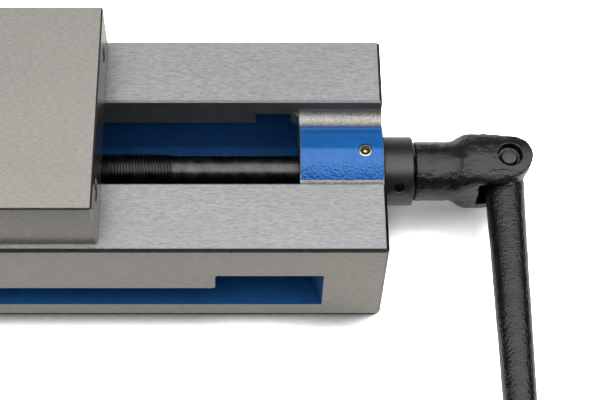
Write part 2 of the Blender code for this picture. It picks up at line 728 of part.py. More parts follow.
def make_nut(parts, tools):
    """Slide nut: crowned block, flange under the ways, leaning nose and threaded bore."""
    top = RAIL_UNDERSIDE - GAP
    wide = NUT_FLANGE_WIDTH / 2
    nut = box("slide_nut", parts, (NUT_FRONT_X, NUT_REAR_X), (-NUT_HALF_WIDTH, NUT_HALF_WIDTH),
              (NUT_BOTTOM, NUT_CROWN))
    flange = box("join_nut_flange", tools, (NUT_FRONT_X + NUT_FLANGE_INSET, NUT_REAR_X - NUT_FLANGE_INSET),
                 (-wide, wide), (top - NUT_FLANGE_THICKNESS, top))
    nose = outline_solid("join_nose", tools, "XZ", nose_outline(0.0), -NOSE_HALF_WIDTH, NOSE_HALF_WIDTH)
    join(nut, flange, nose)
    bore = rod("cut_nut_bore", tools, axis_x(), THREAD_RADIUS + NUT_THREAD_CLEARANCE, NUT_FRONT_X - OVERCUT,
               NUT_REAR_X + OVERCUT, LARGE_SIDES)
    cut(nut, bore)
    return finish(nut, material_named("nut_cast_iron", (0.16, 0.16, 0.165), 0.5, 0.8))


def make_jaw_slide(parts, tools):
    """Everything that slides along the ways, hung on one empty."""
    jaw = make_movable_jaw(parts, tools)
    low_x = MOVABLE_JAW_FRONT_X - GAP - PLATE_THICKNESS
    plate, face_x = make_plate("movable_jaw_plate", parts, tools, low_x, -1)
    screws = plate_screws("movable_plate_screw", parts, tools, face_x, -1)
    slide = axis_empty("jaw_slide_axis", parts, Matrix.Translation((MOVABLE_JAW_FRONT_X, 0, BED_HEIGHT)))
    hang_on(slide, jaw, plate, *screws, make_segment(parts), make_nut(parts, tools))


# Lead screw and its bearing

def bearing_places():
    """Low and high X of each piece in the bearing seat, from the seat's end inwards."""
    rear = (BEARING_SEAT_X - GAP - WASHER_WIDTH, BEARING_SEAT_X - GAP)
    cage = (rear[0] - GAP - ROLLER_CAGE_WIDTH, rear[0] - GAP)
    front = (cage[0] - GAP - WASHER_WIDTH, cage[0] - GAP)
    flange = (front[0] - GAP - FLANGE_WIDTH, front[0] - GAP)
    return rear, cage, front, flange


def make_lead_screw(parts, tools):
    """Screw with its thread's outside, smooth shank, thrust flange and hexagon end."""
    flange = bearing_places()[3]
    hex_start = HEAD_X
    end_x = HEAD_X + HEX_LENGTH
    edge = SCREW_END_CHAMFER
    profile = [(hex_start, 0.0), (hex_start, SHANK_RADIUS), (flange[1], SHANK_RADIUS),
               (flange[1], FLANGE_RADIUS), (flange[0], FLANGE_RADIUS), (flange[0], SHANK_RADIUS),
               (THREAD_END_X + edge, SHANK_RADIUS),
               (THREAD_END_X, THREAD_RADIUS), (THREAD_START_X + edge, THREAD_RADIUS),
               (THREAD_START_X, THREAD_RADIUS - edge), (THREAD_START_X, 0.0)]
    screw = turned("lead_screw", parts, axis_x(), profile)
    hexagon = rod("join_hexagon", tools, axis_x() @ Matrix.Rotation(HANDLE_TILT, 4, 'Z'),
                  HEX_ACROSS_FLATS / math.sqrt(3), hex_start - 2 * OVERCUT, end_x, 6)
    join(screw, hexagon)
    return finish(screw, material_named("screw_black_oxide", (0.05, 0.05, 0.055), 0.35, 0.8))


def make_bearing(parts):
    """Washers, roller cage, bush and seal around the shank."""
    rear, cage, front, _ = bearing_places()
    outer = BEARING_SEAT_RADIUS - GAP
    inner = SHANK_RADIUS + GAP
    place = axis_x()
    back_washer = ring("thrust_washer_block", parts, place, outer, inner, *rear)
    finish(back_washer, bright_steel("block_washer_steel"))
    rollers = ring("thrust_roller_cage", parts, place, outer, inner, *cage)
    finish(rollers, bright_steel("cage_steel"))
    front_washer = ring("thrust_washer_screw", parts, place, outer - GAP, inner, *front)
    finish(front_washer, bright_steel("screw_washer_steel"))
    seal = ring("screw_seal", parts, place, outer, inner, BLOCK_X + GAP, BLOCK_X + GAP + SEAL_WIDTH)
    finish(seal, material_named("seal_rubber", (0.02, 0.02, 0.02), 0.7, 0.0))
    bush = ring("screw_bush", parts, place, BUSH_RADIUS, inner, BEARING_SEAT_X + GAP, BED_END_X - GAP)
    finish(bush, material_named("bush_bronze", (0.45, 0.28, 0.12), 0.4, 1.0))
    return front_washer


def set_screw_place():
    """Place on the collar's outside whose local Z points out of the set screw's hole."""
    outward = Matrix.Rotation(math.pi / 2 - COLLAR_SCREW_ANGLE, 4, 'X')
    middle = COLLAR_X + COLLAR_WIDTH / 2
    return Matrix.Translation((middle, 0, SCREW_HEIGHT)) @ outward


def make_collar(parts, tools):
    """Collar outside the block and the set screw in its cross hole."""
    collar = ring("collar", parts, axis_x(), COLLAR_RADIUS, SHANK_RADIUS + GAP, COLLAR_X,
                  COLLAR_X + COLLAR_WIDTH, COLLAR_EDGE)
    place = set_screw_place()
    hole = rod("cut_collar_hole", tools, place, COLLAR_SCREW_RADIUS + GAP, SHANK_RADIUS - 2 * OVERCUT,
               COLLAR_RADIUS + OVERCUT)
    cut(collar, hole)
    finish(collar, material_named("collar_black", (0.045, 0.043, 0.044), 0.38, 0.5))
    top = COLLAR_RADIUS - COLLAR_SCREW_SUNK
    set_screw = rod("collar_set_screw", parts, place, COLLAR_SCREW_RADIUS, top - COLLAR_SCREW_LENGTH, top)
    cut(set_screw, rod("cut_set_screw_socket", tools, place, COLLAR_SOCKET_RADIUS,
                       top - COLLAR_SOCKET_DEPTH, top + OVERCUT, 6))
    finish(set_screw, bright_steel("set_screw_steel"))
    return collar, set_screw


# Ball oiler

def oiler_ball_rest():
    """Height of the ball's middle when it closes the oiler's throat."""
    return oiler_face() - OILER_BALL_RADIUS + OILER_BALL_PROUD


def make_oiler(parts, tools):
    """Pressed-in oiler: shell with a throat, ball and spring."""
    place = axis_z(OILER_X, OILER_Y)
    face = oiler_face()
    bottom = face - OILER_LENGTH
    inside = OILER_BALL_RADIUS + GAP
    throat_z = oiler_ball_rest() + math.sqrt(inside ** 2 - OILER_THROAT_RADIUS ** 2)
    lip = face + GAP
    profile = [(lip, OILER_RADIUS - GAP), (face, OILER_RADIUS), (bottom, OILER_RADIUS), (bottom, inside),
               (oiler_ball_rest(), inside), (throat_z, OILER_THROAT_RADIUS), (lip, OILER_THROAT_RADIUS + GAP)]
    shell = turned("oiler_shell", parts, place, profile, closed=True, sides=SMALL_SIDES)
    finish(shell, material_named("oiler_brass", (0.60, 0.47, 0.25), 0.3, 1.0))
    centre = Vector((OILER_X, OILER_Y, oiler_ball_rest()))
    steel_ball = finish(ball("oiler_ball", parts, centre, OILER_BALL_RADIUS, 16), bright_steel("ball_steel"),
                        smooth=True)
    press = axis_empty("oiler_ball_axis", parts, Matrix.Translation(centre))
    hang_on(press, steel_ball)
    make_oiler_spring(parts, place, bottom + OILER_WIRE_RADIUS)


def make_oiler_spring(parts, place, bottom):
    """Spring that holds the ball up against the throat."""
    top = oiler_ball_rest() - OILER_BALL_RADIUS - OILER_WIRE_RADIUS - GAP
    coil_radius = OILER_BALL_RADIUS - OILER_WIRE_RADIUS
    curve = bpy.data.curves.new("oiler_spring", 'CURVE')
    curve.dimensions = '3D'
    curve.bevel_depth = OILER_WIRE_RADIUS
    curve.bevel_resolution = 1
    curve.use_fill_caps = True
    spline = curve.splines.new('POLY')
    per_turn = 12
    count = OILER_SPRING_TURNS * per_turn
    spline.points.add(count)
    for i, point in enumerate(spline.points):
        angle = math.tau * i / per_turn
        height = bottom + (top - bottom) * i / count
        point.co = (coil_radius * math.cos(angle), coil_radius * math.sin(angle), height, 1.0)
    spring = add_object("oiler_spring", curve, parts, place)
    return finish_curve(spring, parts, bright_steel("spring_steel"))


def finish_curve(drawn, group, material):
    """Make a drawn wire a closed mesh and colour it."""
    return finish(curve_as_mesh(drawn, group), material)


# Handle

def head_place():
    """Frame of the handle head: X along the screw, Z along the pin."""
    return Matrix.Translation((0, 0, SCREW_HEIGHT)) @ Matrix.Rotation(HANDLE_TILT, 4, 'X')


def head_plan():
    """Plan of the head, seen along the pin: tube, flare and rounded ears."""
    flare_x = HEAD_X + HEAD_TUBE_LENGTH + FLARE_LENGTH
    reach = PIN_X - flare_x
    slope = math.asin((FORK_HALF_WIDTH - EAR_RADIUS) / math.hypot(reach, FORK_HALF_WIDTH))
    steps = 16
    span = math.pi - 2 * slope
    arc = []
    for step in range(steps + 1):
        angle = -span / 2 + span * step / steps
        arc.append((PIN_X + EAR_RADIUS * math.cos(angle), EAR_RADIUS * math.sin(angle)))
    tube_end = HEAD_X + HEAD_TUBE_LENGTH
    tube_half = HEAD_RADIUS + OVERCUT / 2
    rear = [(flare_x, FORK_HALF_WIDTH), (tube_end, tube_half), (HEAD_X - OVERCUT, tube_half)]
    mirrored = [(x, -y) for x, y in reversed(rear)]
    return mirrored + arc + rear


def head_envelope(tools, place):
    """Turned outside of the head, which rounds the tube, the flare and the fork."""
    tube_end = HEAD_X + HEAD_TUBE_LENGTH
    rim = HEAD_RIM
    profile = [(PIN_X + EAR_RADIUS + OVERCUT, 0.0), (PIN_X + EAR_RADIUS + OVERCUT, FORK_RADIUS)]
    steps = 8
    for step in range(steps + 1):
        share = 1 - step / steps
        radius = HEAD_RADIUS + (FORK_RADIUS - HEAD_RADIUS) * (1 - math.cos(math.pi * share)) / 2
        profile.append((tube_end + FLARE_LENGTH * share, radius))
    profile += [(HEAD_X + rim, HEAD_RADIUS), (HEAD_X, HEAD_RADIUS - rim), (HEAD_X, 0.0)]
    envelope_place = place @ Matrix.Rotation(math.pi / 2, 4, 'Y')
    return turned("shape_head_envelope", tools, envelope_place, profile)


def on_head(drawn, place):
    """Move an outline drawn about the origin into the head's frame."""
    drawn.matrix_world = place @ drawn.matrix_world
    return drawn


def make_head(parts, tools):
    """Cast head with its hexagon socket, fork slot and pin holes."""
    place = head_place()
    beyond = FORK_RADIUS + OVERCUT
    head = outline_solid("handle_head", parts, "XY", head_plan(), -beyond, beyond)
    on_head(head, place)
    boolean(head, head_envelope(tools, place), 'INTERSECT')
    half = FORK_SLOT_HEIGHT / 2
    slot = box("cut_fork_slot", tools, (PIN_X - FORK_SLOT_ROOT, PIN_X + EAR_RADIUS + 2 * OVERCUT),
               (-beyond, beyond), (-half, half))
    on_head(slot, place)
    at_pin = place @ Matrix.Translation((PIN_X, 0, 0))
    bore = rod("cut_pin_bore", tools, at_pin, PIN_RADIUS + GAP, -beyond, beyond)
    recess = FORK_RADIUS - PIN_RECESS_DEPTH
    upper = rod("cut_pin_recess_upper", tools, at_pin, PIN_RECESS_RADIUS, recess, beyond)
    lower = rod("cut_pin_recess_lower", tools, at_pin, PIN_RECESS_RADIUS, -beyond, -recess)
    socket_place = place @ Matrix.Rotation(math.pi / 2, 4, 'Y')
    socket = rod("cut_head_socket", tools, socket_place, (HEX_ACROSS_FLATS + 2 * GAP) / math.sqrt(3),
                 HEAD_X - OVERCUT, HEAD_X + HEX_LENGTH + GAP, 6)
    cut(head, slot, bore, upper, lower, socket)
    return finish(head, material_named("head_black_enamel", (0.03, 0.03, 0.032), 0.22, 0.2))


def make_pin(parts):
    """Pivot pin, flush with the bottoms of its recesses."""
    end = FORK_RADIUS - PIN_RECESS_DEPTH + PIN_PROUD
    edge = PIN_EDGE
    profile = [(end, 0.0), (end, PIN_RADIUS - edge), (end - edge, PIN_RADIUS), (edge - end, PIN_RADIUS),
               (-end, PIN_RADIUS - edge), (-end, 0.0)]
    pin = turned("handle_pin", parts, head_place() @ Matrix.Translation((PIN_X, 0, 0)), profile,
                 sides=SMALL_SIDES)
    return finish(pin, material_named("pin_black", (0.05, 0.05, 0.052), 0.35, 0.6))


def arm_profile():
    """Tapered arm with a round end, from its tip back to its eye."""
    steps = 6
    tip = []
    for step in range(steps + 1):
        angle = math.pi / 2 * (1 - step / steps)
        tip.append((ARM_LENGTH - ARM_END_RADIUS * (1 - math.sin(angle)), ARM_END_RADIUS * math.cos(angle)))
    root = ARM_ROOT_AT
    return tip + [(ARM_SHOULDER_AT, ARM_SHOULDER_RADIUS), (root, ARM_ROOT_RADIUS), (root, 0.0)]


def make_arm(parts, tools):
    """Arm with the eye that turns on the pin."""
    pivot = head_place() @ Matrix.Translation((PIN_X, 0, 0))
    half = FORK_SLOT_HEIGHT / 2 - GAP
    arm = rod("handle_arm", parts, pivot, ARM_EYE_RADIUS, -half, half, LARGE_SIDES)
    bar_place = pivot @ Matrix.Translation((-ARM_SETBACK, 0, 0)) @ Matrix.Rotation(math.pi / 2, 4, 'X')
    bar = turned("join_arm_bar", tools, bar_place, arm_profile())
    join(arm, bar)
    beyond = half + OVERCUT
    cut(arm, rod("cut_arm_eye", tools, pivot, PIN_RADIUS + GAP, -beyond, beyond))
    finish(arm, material_named("arm_black_enamel", (0.03, 0.03, 0.032), 0.2, 0.2))
    swing = axis_empty("handle_swing_axis", parts, pivot)
    hang_on(swing, arm)
    return swing


def make_turning_parts(parts, tools):
    """Everything that turns with the lead screw, hung on one empty."""
    turning = [make_lead_screw(parts, tools), make_bearing(parts), *make_collar(parts, tools)]
    turning += [make_head(parts, tools), make_pin(parts), make_arm(parts, tools)]
    hang_on(axis_empty("screw_turn_axis", parts, head_place()), *turning)


def main():
    """Build the whole vise."""
    clear_scene()
    parts = collection_named("machine_vise")
    tools = collection_named("machine_vise_cutters")
    make_bed(parts, tools)
    make_fixed_jaw(parts, tools)
    make_jaw_slide(parts, tools)
    make_turning_parts(parts, tools)
    make_oiler(parts, tools)


main()
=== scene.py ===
"""Finished looks of the machine vise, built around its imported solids.

Laid out as an add-on and run as a script. Lengths are metres, in the solids' own frame.
"""
import json
import math

import bmesh
import bpy
from mathutils import Euler, Matrix, Vector


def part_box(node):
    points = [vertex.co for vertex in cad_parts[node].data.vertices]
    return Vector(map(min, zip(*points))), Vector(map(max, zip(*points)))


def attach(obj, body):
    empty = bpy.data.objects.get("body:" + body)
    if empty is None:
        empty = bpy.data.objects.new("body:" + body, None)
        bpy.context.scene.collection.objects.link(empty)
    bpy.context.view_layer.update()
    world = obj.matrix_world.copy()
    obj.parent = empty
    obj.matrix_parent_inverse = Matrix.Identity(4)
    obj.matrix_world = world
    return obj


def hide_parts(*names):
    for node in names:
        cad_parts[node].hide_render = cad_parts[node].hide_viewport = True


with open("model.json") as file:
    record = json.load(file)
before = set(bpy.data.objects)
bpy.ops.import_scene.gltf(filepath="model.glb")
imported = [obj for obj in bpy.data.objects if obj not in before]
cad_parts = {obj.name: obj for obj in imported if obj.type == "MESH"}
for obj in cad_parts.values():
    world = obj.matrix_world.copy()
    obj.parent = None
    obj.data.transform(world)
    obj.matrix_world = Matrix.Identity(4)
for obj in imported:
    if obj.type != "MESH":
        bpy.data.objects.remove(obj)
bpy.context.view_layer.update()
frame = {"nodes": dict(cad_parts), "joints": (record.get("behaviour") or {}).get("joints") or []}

bl_info = {
    "name": "Machine vise",
    "version": (1, 0, 0),
    "blender": (4, 5, 0),
    "location": "View3D > Sidebar > Vise",
    "description": "Builds the vise's ground, painted, cast and turned pieces around its solids",
    "category": "Object",
}

# Places read from the solids
BED_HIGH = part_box("body")[1]
SCREW_LOW, SCREW_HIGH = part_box("lead_screw")
SCREW_Z = (SCREW_LOW.z + SCREW_HIGH.z) / 2
JAW_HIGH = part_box("movable_jaw")[1]
PIN_LOW, PIN_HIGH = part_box("handle_pin")
PIN_CENTRE = (PIN_LOW + PIN_HIGH) / 2
HEAD_LOW, HEAD_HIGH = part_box("handle_head")
COLLAR_LOW, COLLAR_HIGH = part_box("collar")
OILER_LOW, OILER_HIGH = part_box("oiler_shell")
OILER_RADIUS = (OILER_HIGH.x - OILER_LOW.x) / 2
SWING_AXIS = next(Vector(joint["axis"]) for joint in frame["joints"] if joint["name"] == "handle_swing")
PIN_TILT = math.atan2(-SWING_AXIS.y, SWING_AXIS.z)
ALONG, ACROSS, UP = Vector((1, 0, 0)), Vector((0, 1, 0)), Vector((0, 0, 1))
PIN_AXIS = Matrix.Rotation(PIN_TILT, 3, 'X') @ UP

# Points closer than this are one
MERGE = 0.000002
# A face looks along an axis if that part of its normal is above the first, and along none if all are below the second
FACING = 0.9
SLANTED = 0.95


# Sizes and colours that a user would change

def length(name, description, default):
    """Length property in metres."""
    return bpy.props.FloatProperty(name=name, description=description, default=default, min=0.0,
                                   precision=5, unit='LENGTH', subtype='DISTANCE')


def colour(name, description, default):
    """Colour property."""
    return bpy.props.FloatVectorProperty(name=name, description=description, default=default, size=3,
                                         min=0.0, max=1.0, subtype='COLOR')


class ViseSizes(bpy.types.PropertyGroup):
    """Sizes of the finer shapes"""
    edge: length("Edge break", "Fine rounding on the ground pieces' edges", 0.00022)
    pocket: length("Pocket corners", "Rounding inside the side pockets", 0.0024)
    hollow: length("Hollow corners", "Rounding in plan where the slot meets the bearing block", 0.0050)
    cove: length("Cove radius", "Radius of the hollow beside the boss", 0.0090)
    rim: length("Slot rim", "Chamfer along the slot's top edges", 0.0007)
    pitch: length("Thread pitch", "Lead screw's travel in one turn", 0.001814)
    thread: length("Thread depth", "Depth of the lead screw's thread", 0.0011)
    tapped_pitch: length("Tapped hole pitch", "Pitch of the thread in the jaw's rear holes", 0.00195)
    head_grain: length("Head grain", "Mesh size of the cast head", 0.0005)
    arm_grain: length("Arm grain", "Mesh size of the cast arm", 0.0006)
    well: length("Pin well", "Depth of the well around the pivot pin", 0.0068)


class ViseColours(bpy.types.PropertyGroup):
    """Colours of the finishes"""
    way: colour("Ways", "Ground top faces of the bed", (0.43, 0.43, 0.435))
    # The bed's sides and ends are coloured darker than its ways: painted shade on the upright faces.
    side: colour("Bed sides", "Ground iron of the bed's sides", (0.24, 0.226, 0.202))
    jaw: colour("Jaws", "Ground jaw blocks", (0.42, 0.40, 0.371))
    plate: colour("Plates", "Hardened jaw plates", (0.56, 0.56, 0.57))
    bare: colour("Bare casting", "Machined coves beside the boss", (0.34, 0.327, 0.303))
    blue: colour("Blue paint", "Paint in the hollows and on the boss", (0.009, 0.112, 0.375))
    # The hollows' paint is a darker copy of the blue: painted shade in the hollows and side pockets.
    hollow_blue: colour("Paint in the hollows", "The same paint, dulled by dust and oil", (0.012, 0.092, 0.26))
    enamel: colour("Black enamel", "Gloss enamel of the head and arm", (0.006, 0.006, 0.0065))
    oxide: colour("Black oxide", "Lead screw, bolts and cap screws", (0.074, 0.074, 0.075))
    collar: colour("Collar", "Satin black of the collar", (0.008, 0.008, 0.008))
    brass: colour("Brass", "Ball oiler", (0.92, 0.82, 0.48))
    bronze: colour("Bronze", "Bush in the bearing block", (0.50, 0.32, 0.15))
    iron: colour("Iron", "Slide nut", (0.20, 0.20, 0.205))
    # Slot walls: a dark iron that stands in for the slot's shade, painted into the colour.
    wall: colour("Slot walls", "Dark oiled iron of the slot's walls", (0.105, 0.104, 0.102))
    floor: colour("Floor", "Pale studio floor", (0.66, 0.66, 0.66))


def sizes():
    """The sizes kept on the scene."""
    return bpy.context.scene.vise_sizes


def colours():
    """The colours kept on the scene."""
    return bpy.context.scene.vise_colours


# Material building

class Finish:
    """Node tree of one material, with short ways to add and join nodes."""

    def __init__(self, name, roughness=0.4, metallic=0.0, **sockets):
        self.material = bpy.data.materials.new(name)
        self.material.use_nodes = True
        self.tree = self.material.node_tree
        self.shader = self.tree.nodes["Principled BSDF"]
        self.shader.inputs["Roughness"].default_value = roughness
        self.shader.inputs["Metallic"].default_value = metallic
        for socket, value in sockets.items():
            self.shader.inputs[socket.replace("_", " ")].default_value = value
        self.place = self.tree.nodes.new("ShaderNodeTexCoord").outputs["Object"]

    def add(self, kind, settings=None, **inputs):
        """New node with its settings and its inputs, each a value or another node's output."""
        node = self.tree.nodes.new("ShaderNode" + kind)
        for name, value in (settings or {}).items():
            setattr(node, name, value)
        for name, value in inputs.items():
            socket = node.inputs[int(name[1:])] if name[1:].isdigit() else node.inputs[name.replace("_", " ")]
            if isinstance(value, bpy.types.NodeSocket):
                self.tree.links.new(value, socket)
            else:
                socket.default_value = value
        return node

    def set(self, socket, output):
        """Feed one of the shader's sockets."""
        self.tree.links.new(output, self.shader.inputs[socket])

    def noise(self, stretch, detail=3.0, rough=0.55, warp=0.0):
        """Noise between 0 and 1 with that many features a metre: one number, or one each for X, Y and Z."""
        scale = stretch if isinstance(stretch, tuple) else (stretch, stretch, stretch)
        turned = self.add("Mapping", Vector=self.place, Scale=scale)
        return self.add("TexNoise", Vector=turned.outputs["Vector"], Scale=1.0, Detail=detail,
                        Roughness=rough, Distortion=warp).outputs["Fac"]

    def cells(self, size, smooth=0.6):
        """Distance to scattered points, for hammered and pitted surfaces."""
        settings = {"feature": 'SMOOTH_F1'}
        return self.add("TexVoronoi", settings, Vector=self.place, Scale=size,
                        Smoothness=smooth).outputs["Distance"]

    def spread(self, value, low, high, from_low=0.3, from_high=0.7):
        """Move a value's usual range to another one."""
        return self.add("MapRange", Value=value, From_Min=from_low, From_Max=from_high, To_Min=low,
                        To_Max=high).outputs["Result"]

    def times(self, first, second, operation='MULTIPLY'):
        """Combine two numbers."""
        return self.add("Math", {"operation": operation}, _0=first, _1=second).outputs[0]

    def tinted(self, base, *factors):
        """Colour, a fixed one or a node's, multiplied by numbers that vary over the surface."""
        shade = factors[0]
        for factor in factors[1:]:
            shade = self.times(shade, factor)
        start = base if isinstance(base, bpy.types.NodeSocket) else tuple(base)
        return self.add("VectorMath", {"operation": 'SCALE'}, _0=start, Scale=shade).outputs["Vector"]

    def blend(self, share, first, second):
        """Mix of two colours by a share."""
        mixed = self.add("Mix", {"data_type": 'RGBA'}, _0=share)
        for socket, value in ((mixed.inputs[6], first), (mixed.inputs[7], second)):
            if isinstance(value, bpy.types.NodeSocket):
                self.tree.links.new(value, socket)
            else:
                socket.default_value = (*value, 1.0)
        return mixed.outputs[2]

    def relief(self, height, distance, strength=1.0, under=None):
        """Bump of that height in metres, on top of another one."""
        inputs = {"Height": height, "Distance": distance, "Strength": strength}
        if under is not None:
            inputs["Normal"] = under
        return self.add("Bump", **inputs).outputs["Normal"]


def ground_metal(name, base, roughness, lines, contrast=0.16, cloud=9.0, stretch=0.8):
    """Surface-ground metal whose fine lines run along X or Y and spread its shine across them."""
    finish = Finish(name, metallic=1.0, Anisotropic=stretch)
    along = (1, 0.02, 0.03) if lines[0] < lines[1] else (0.02, 1, 0.03)
    grain = finish.noise(lines, detail=1.5, rough=0.5)
    patches = finish.noise((cloud, cloud * 3, cloud * 3), detail=2.0)
    shade = finish.spread(grain, 1.0 - contrast, 1.0 + contrast)
    finish.set("Base Color", finish.tinted(base, shade, finish.spread(patches, 0.97, 1.03)))
    finish.set("Roughness", finish.spread(grain, roughness - 0.03, roughness + 0.05))
    finish.set("Normal", finish.relief(grain, 0.00001, 0.3))
    faces = finish.add("NewGeometry").outputs["True Normal"]
    world_lines = finish.add("VectorTransform", {"vector_type": 'VECTOR', "convert_from": 'OBJECT',
                                                 "convert_to": 'WORLD'}, Vector=along).outputs[0]
    across = finish.add("VectorMath", {"operation": 'CROSS_PRODUCT'}, _0=faces, _1=world_lines)
    finish.set("Tangent", across.outputs[0])
    return finish.material


def shade_darkened_iron(name, base):
    """Milled iron deep in the slot, coloured dark as painted shade."""
    finish = Finish(name, metallic=0.25, IOR=1.5)
    marks = finish.noise((60, 60, 1400), detail=4.0)
    stain = finish.noise((90, 90, 160), detail=3.0)
    shade = finish.times(finish.spread(marks, 0.78, 1.22), finish.spread(stain, 0.85, 1.15))
    finish.set("Base Color", finish.tinted(base, shade))
    finish.set("Roughness", finish.spread(stain, 0.38, 0.52))
    finish.set("Normal", finish.relief(marks, 0.00002, 0.6))
    return finish.material


def turned_metal(name, base, roughness, contrast=0.10):
    """Lathe-turned metal with fine rings along X."""
    finish = Finish(name, metallic=1.0)
    rings = finish.noise((2600, 30, 30), detail=3.0)
    finish.set("Base Color", finish.tinted(base, finish.spread(rings, 1 - contrast, 1 + contrast)))
    finish.set("Roughness", finish.spread(rings, roughness, roughness + 0.08))
    finish.set("Normal", finish.relief(rings, 0.00001, 0.6))
    return finish.material


def black_oxide(name, base, roughness):
    """Oiled black oxide on steel, rubbed brighter in patches."""
    finish = Finish(name, metallic=1.0)
    rub = finish.noise(160, detail=4.0)
    rings = finish.noise((1800, 60, 60), detail=2.0)
    shade = finish.times(finish.spread(rub, 0.7, 1.35), finish.spread(rings, 0.85, 1.15))
    finish.set("Base Color", finish.tinted(base, shade))
    finish.set("Roughness", finish.spread(rub, roughness - 0.05, roughness + 0.10))
    finish.set("Normal", finish.relief(rings, 0.00001, 0.5))
    return finish.material


def cast_paint(name, base, roughness, peel, depth, sag=1.0):
    """Brushed-on paint over a casting: its orange peel is coarser where the paint has sagged."""
    finish = Finish(name, metallic=0.22, IOR=1.5)
    waves = finish.noise(peel, detail=1.5, warp=0.4)
    lumps = finish.noise(peel / 6, detail=2.0)
    finish.set("Base Color", finish.tinted(base, finish.spread(lumps, 0.9, 1.1), finish.spread(waves, 0.94, 1.06)))
    finish.set("Roughness", finish.spread(waves, roughness - 0.03, roughness + 0.05))
    across = finish.add("SeparateXYZ", Vector=finish.place).outputs["Y"]
    drop = finish.spread(across, 1.0, 1.0 / sag, -0.013, -0.004)
    under = finish.relief(lumps, depth * 2, 0.5)
    finish.set("Normal", finish.relief(waves, depth * sag, drop, under))
    return finish.material


def hammered_enamel(name, base, roughness, cells, depth):
    """Gloss black enamel over a hammered casting."""
    finish = Finish(name, IOR=1.53)
    dents = finish.cells(cells)
    waves = finish.noise(cells / 4, detail=2.0, warp=0.5)
    fine = finish.noise(cells * 2, detail=1.0)
    finish.set("Base Color", finish.tinted(base, finish.spread(dents, 1.25, 0.8, 0.0, 0.8)))
    finish.set("Roughness", finish.spread(waves, roughness - 0.03, roughness + 0.06))
    under = finish.relief(waves, depth * 2, 0.6)
    under = finish.relief(dents, depth, 1.0, under)
    finish.set("Normal", finish.relief(fine, depth * 0.5, 0.9, under))
    return finish.material


def bare_casting(name, base):
    """Cast iron cleaned with a cutter: pale, mottled and slightly warm."""
    finish = Finish(name, metallic=0.85)
    mottle = finish.noise(900, detail=3.0, rough=0.7)
    stain = finish.noise((260, 420, 420), detail=3.0)
    shade = finish.times(finish.spread(mottle, 0.45, 1.45), finish.spread(stain, 0.86, 1.10))
    warm = finish.blend(finish.spread(stain, 0.0, 0.45, 0.5, 0.8), tuple(base), (0.44, 0.37, 0.30))
    finish.set("Base Color", finish.tinted(warm, shade))
    finish.set("Roughness", finish.spread(mottle, 0.36, 0.52))
    finish.set("Normal", finish.relief(mottle, 0.00006, 1.0))
    return finish.material


def soft_rubber(name):
    """Matt oil-resistant rubber."""
    finish = Finish(name, roughness=0.75)
    grain = finish.noise(1400, detail=2.0)
    finish.set("Base Color", finish.tinted((0.022, 0.022, 0.022), finish.spread(grain, 0.8, 1.3)))
    finish.set("Normal", finish.relief(grain, 0.00002, 0.6))
    return finish.material


def satin_black(name, base):
    """Satin black on turned steel."""
    finish = Finish(name, IOR=1.68)
    rings = finish.noise((2400, 40, 40), detail=2.0)
    grain = finish.noise(900, detail=3.0)
    shade = finish.times(finish.spread(rings, 0.88, 1.12), finish.spread(grain, 0.85, 1.2))
    finish.set("Base Color", finish.tinted(base, shade))
    finish.set("Roughness", finish.spread(grain, 0.30, 0.42))
    finish.set("Normal", finish.relief(grain, 0.00001, 0.6))
    return finish.material


def toned(base, share):
    """Colour made darker or lighter by a share."""
    return tuple(share * part for part in base)


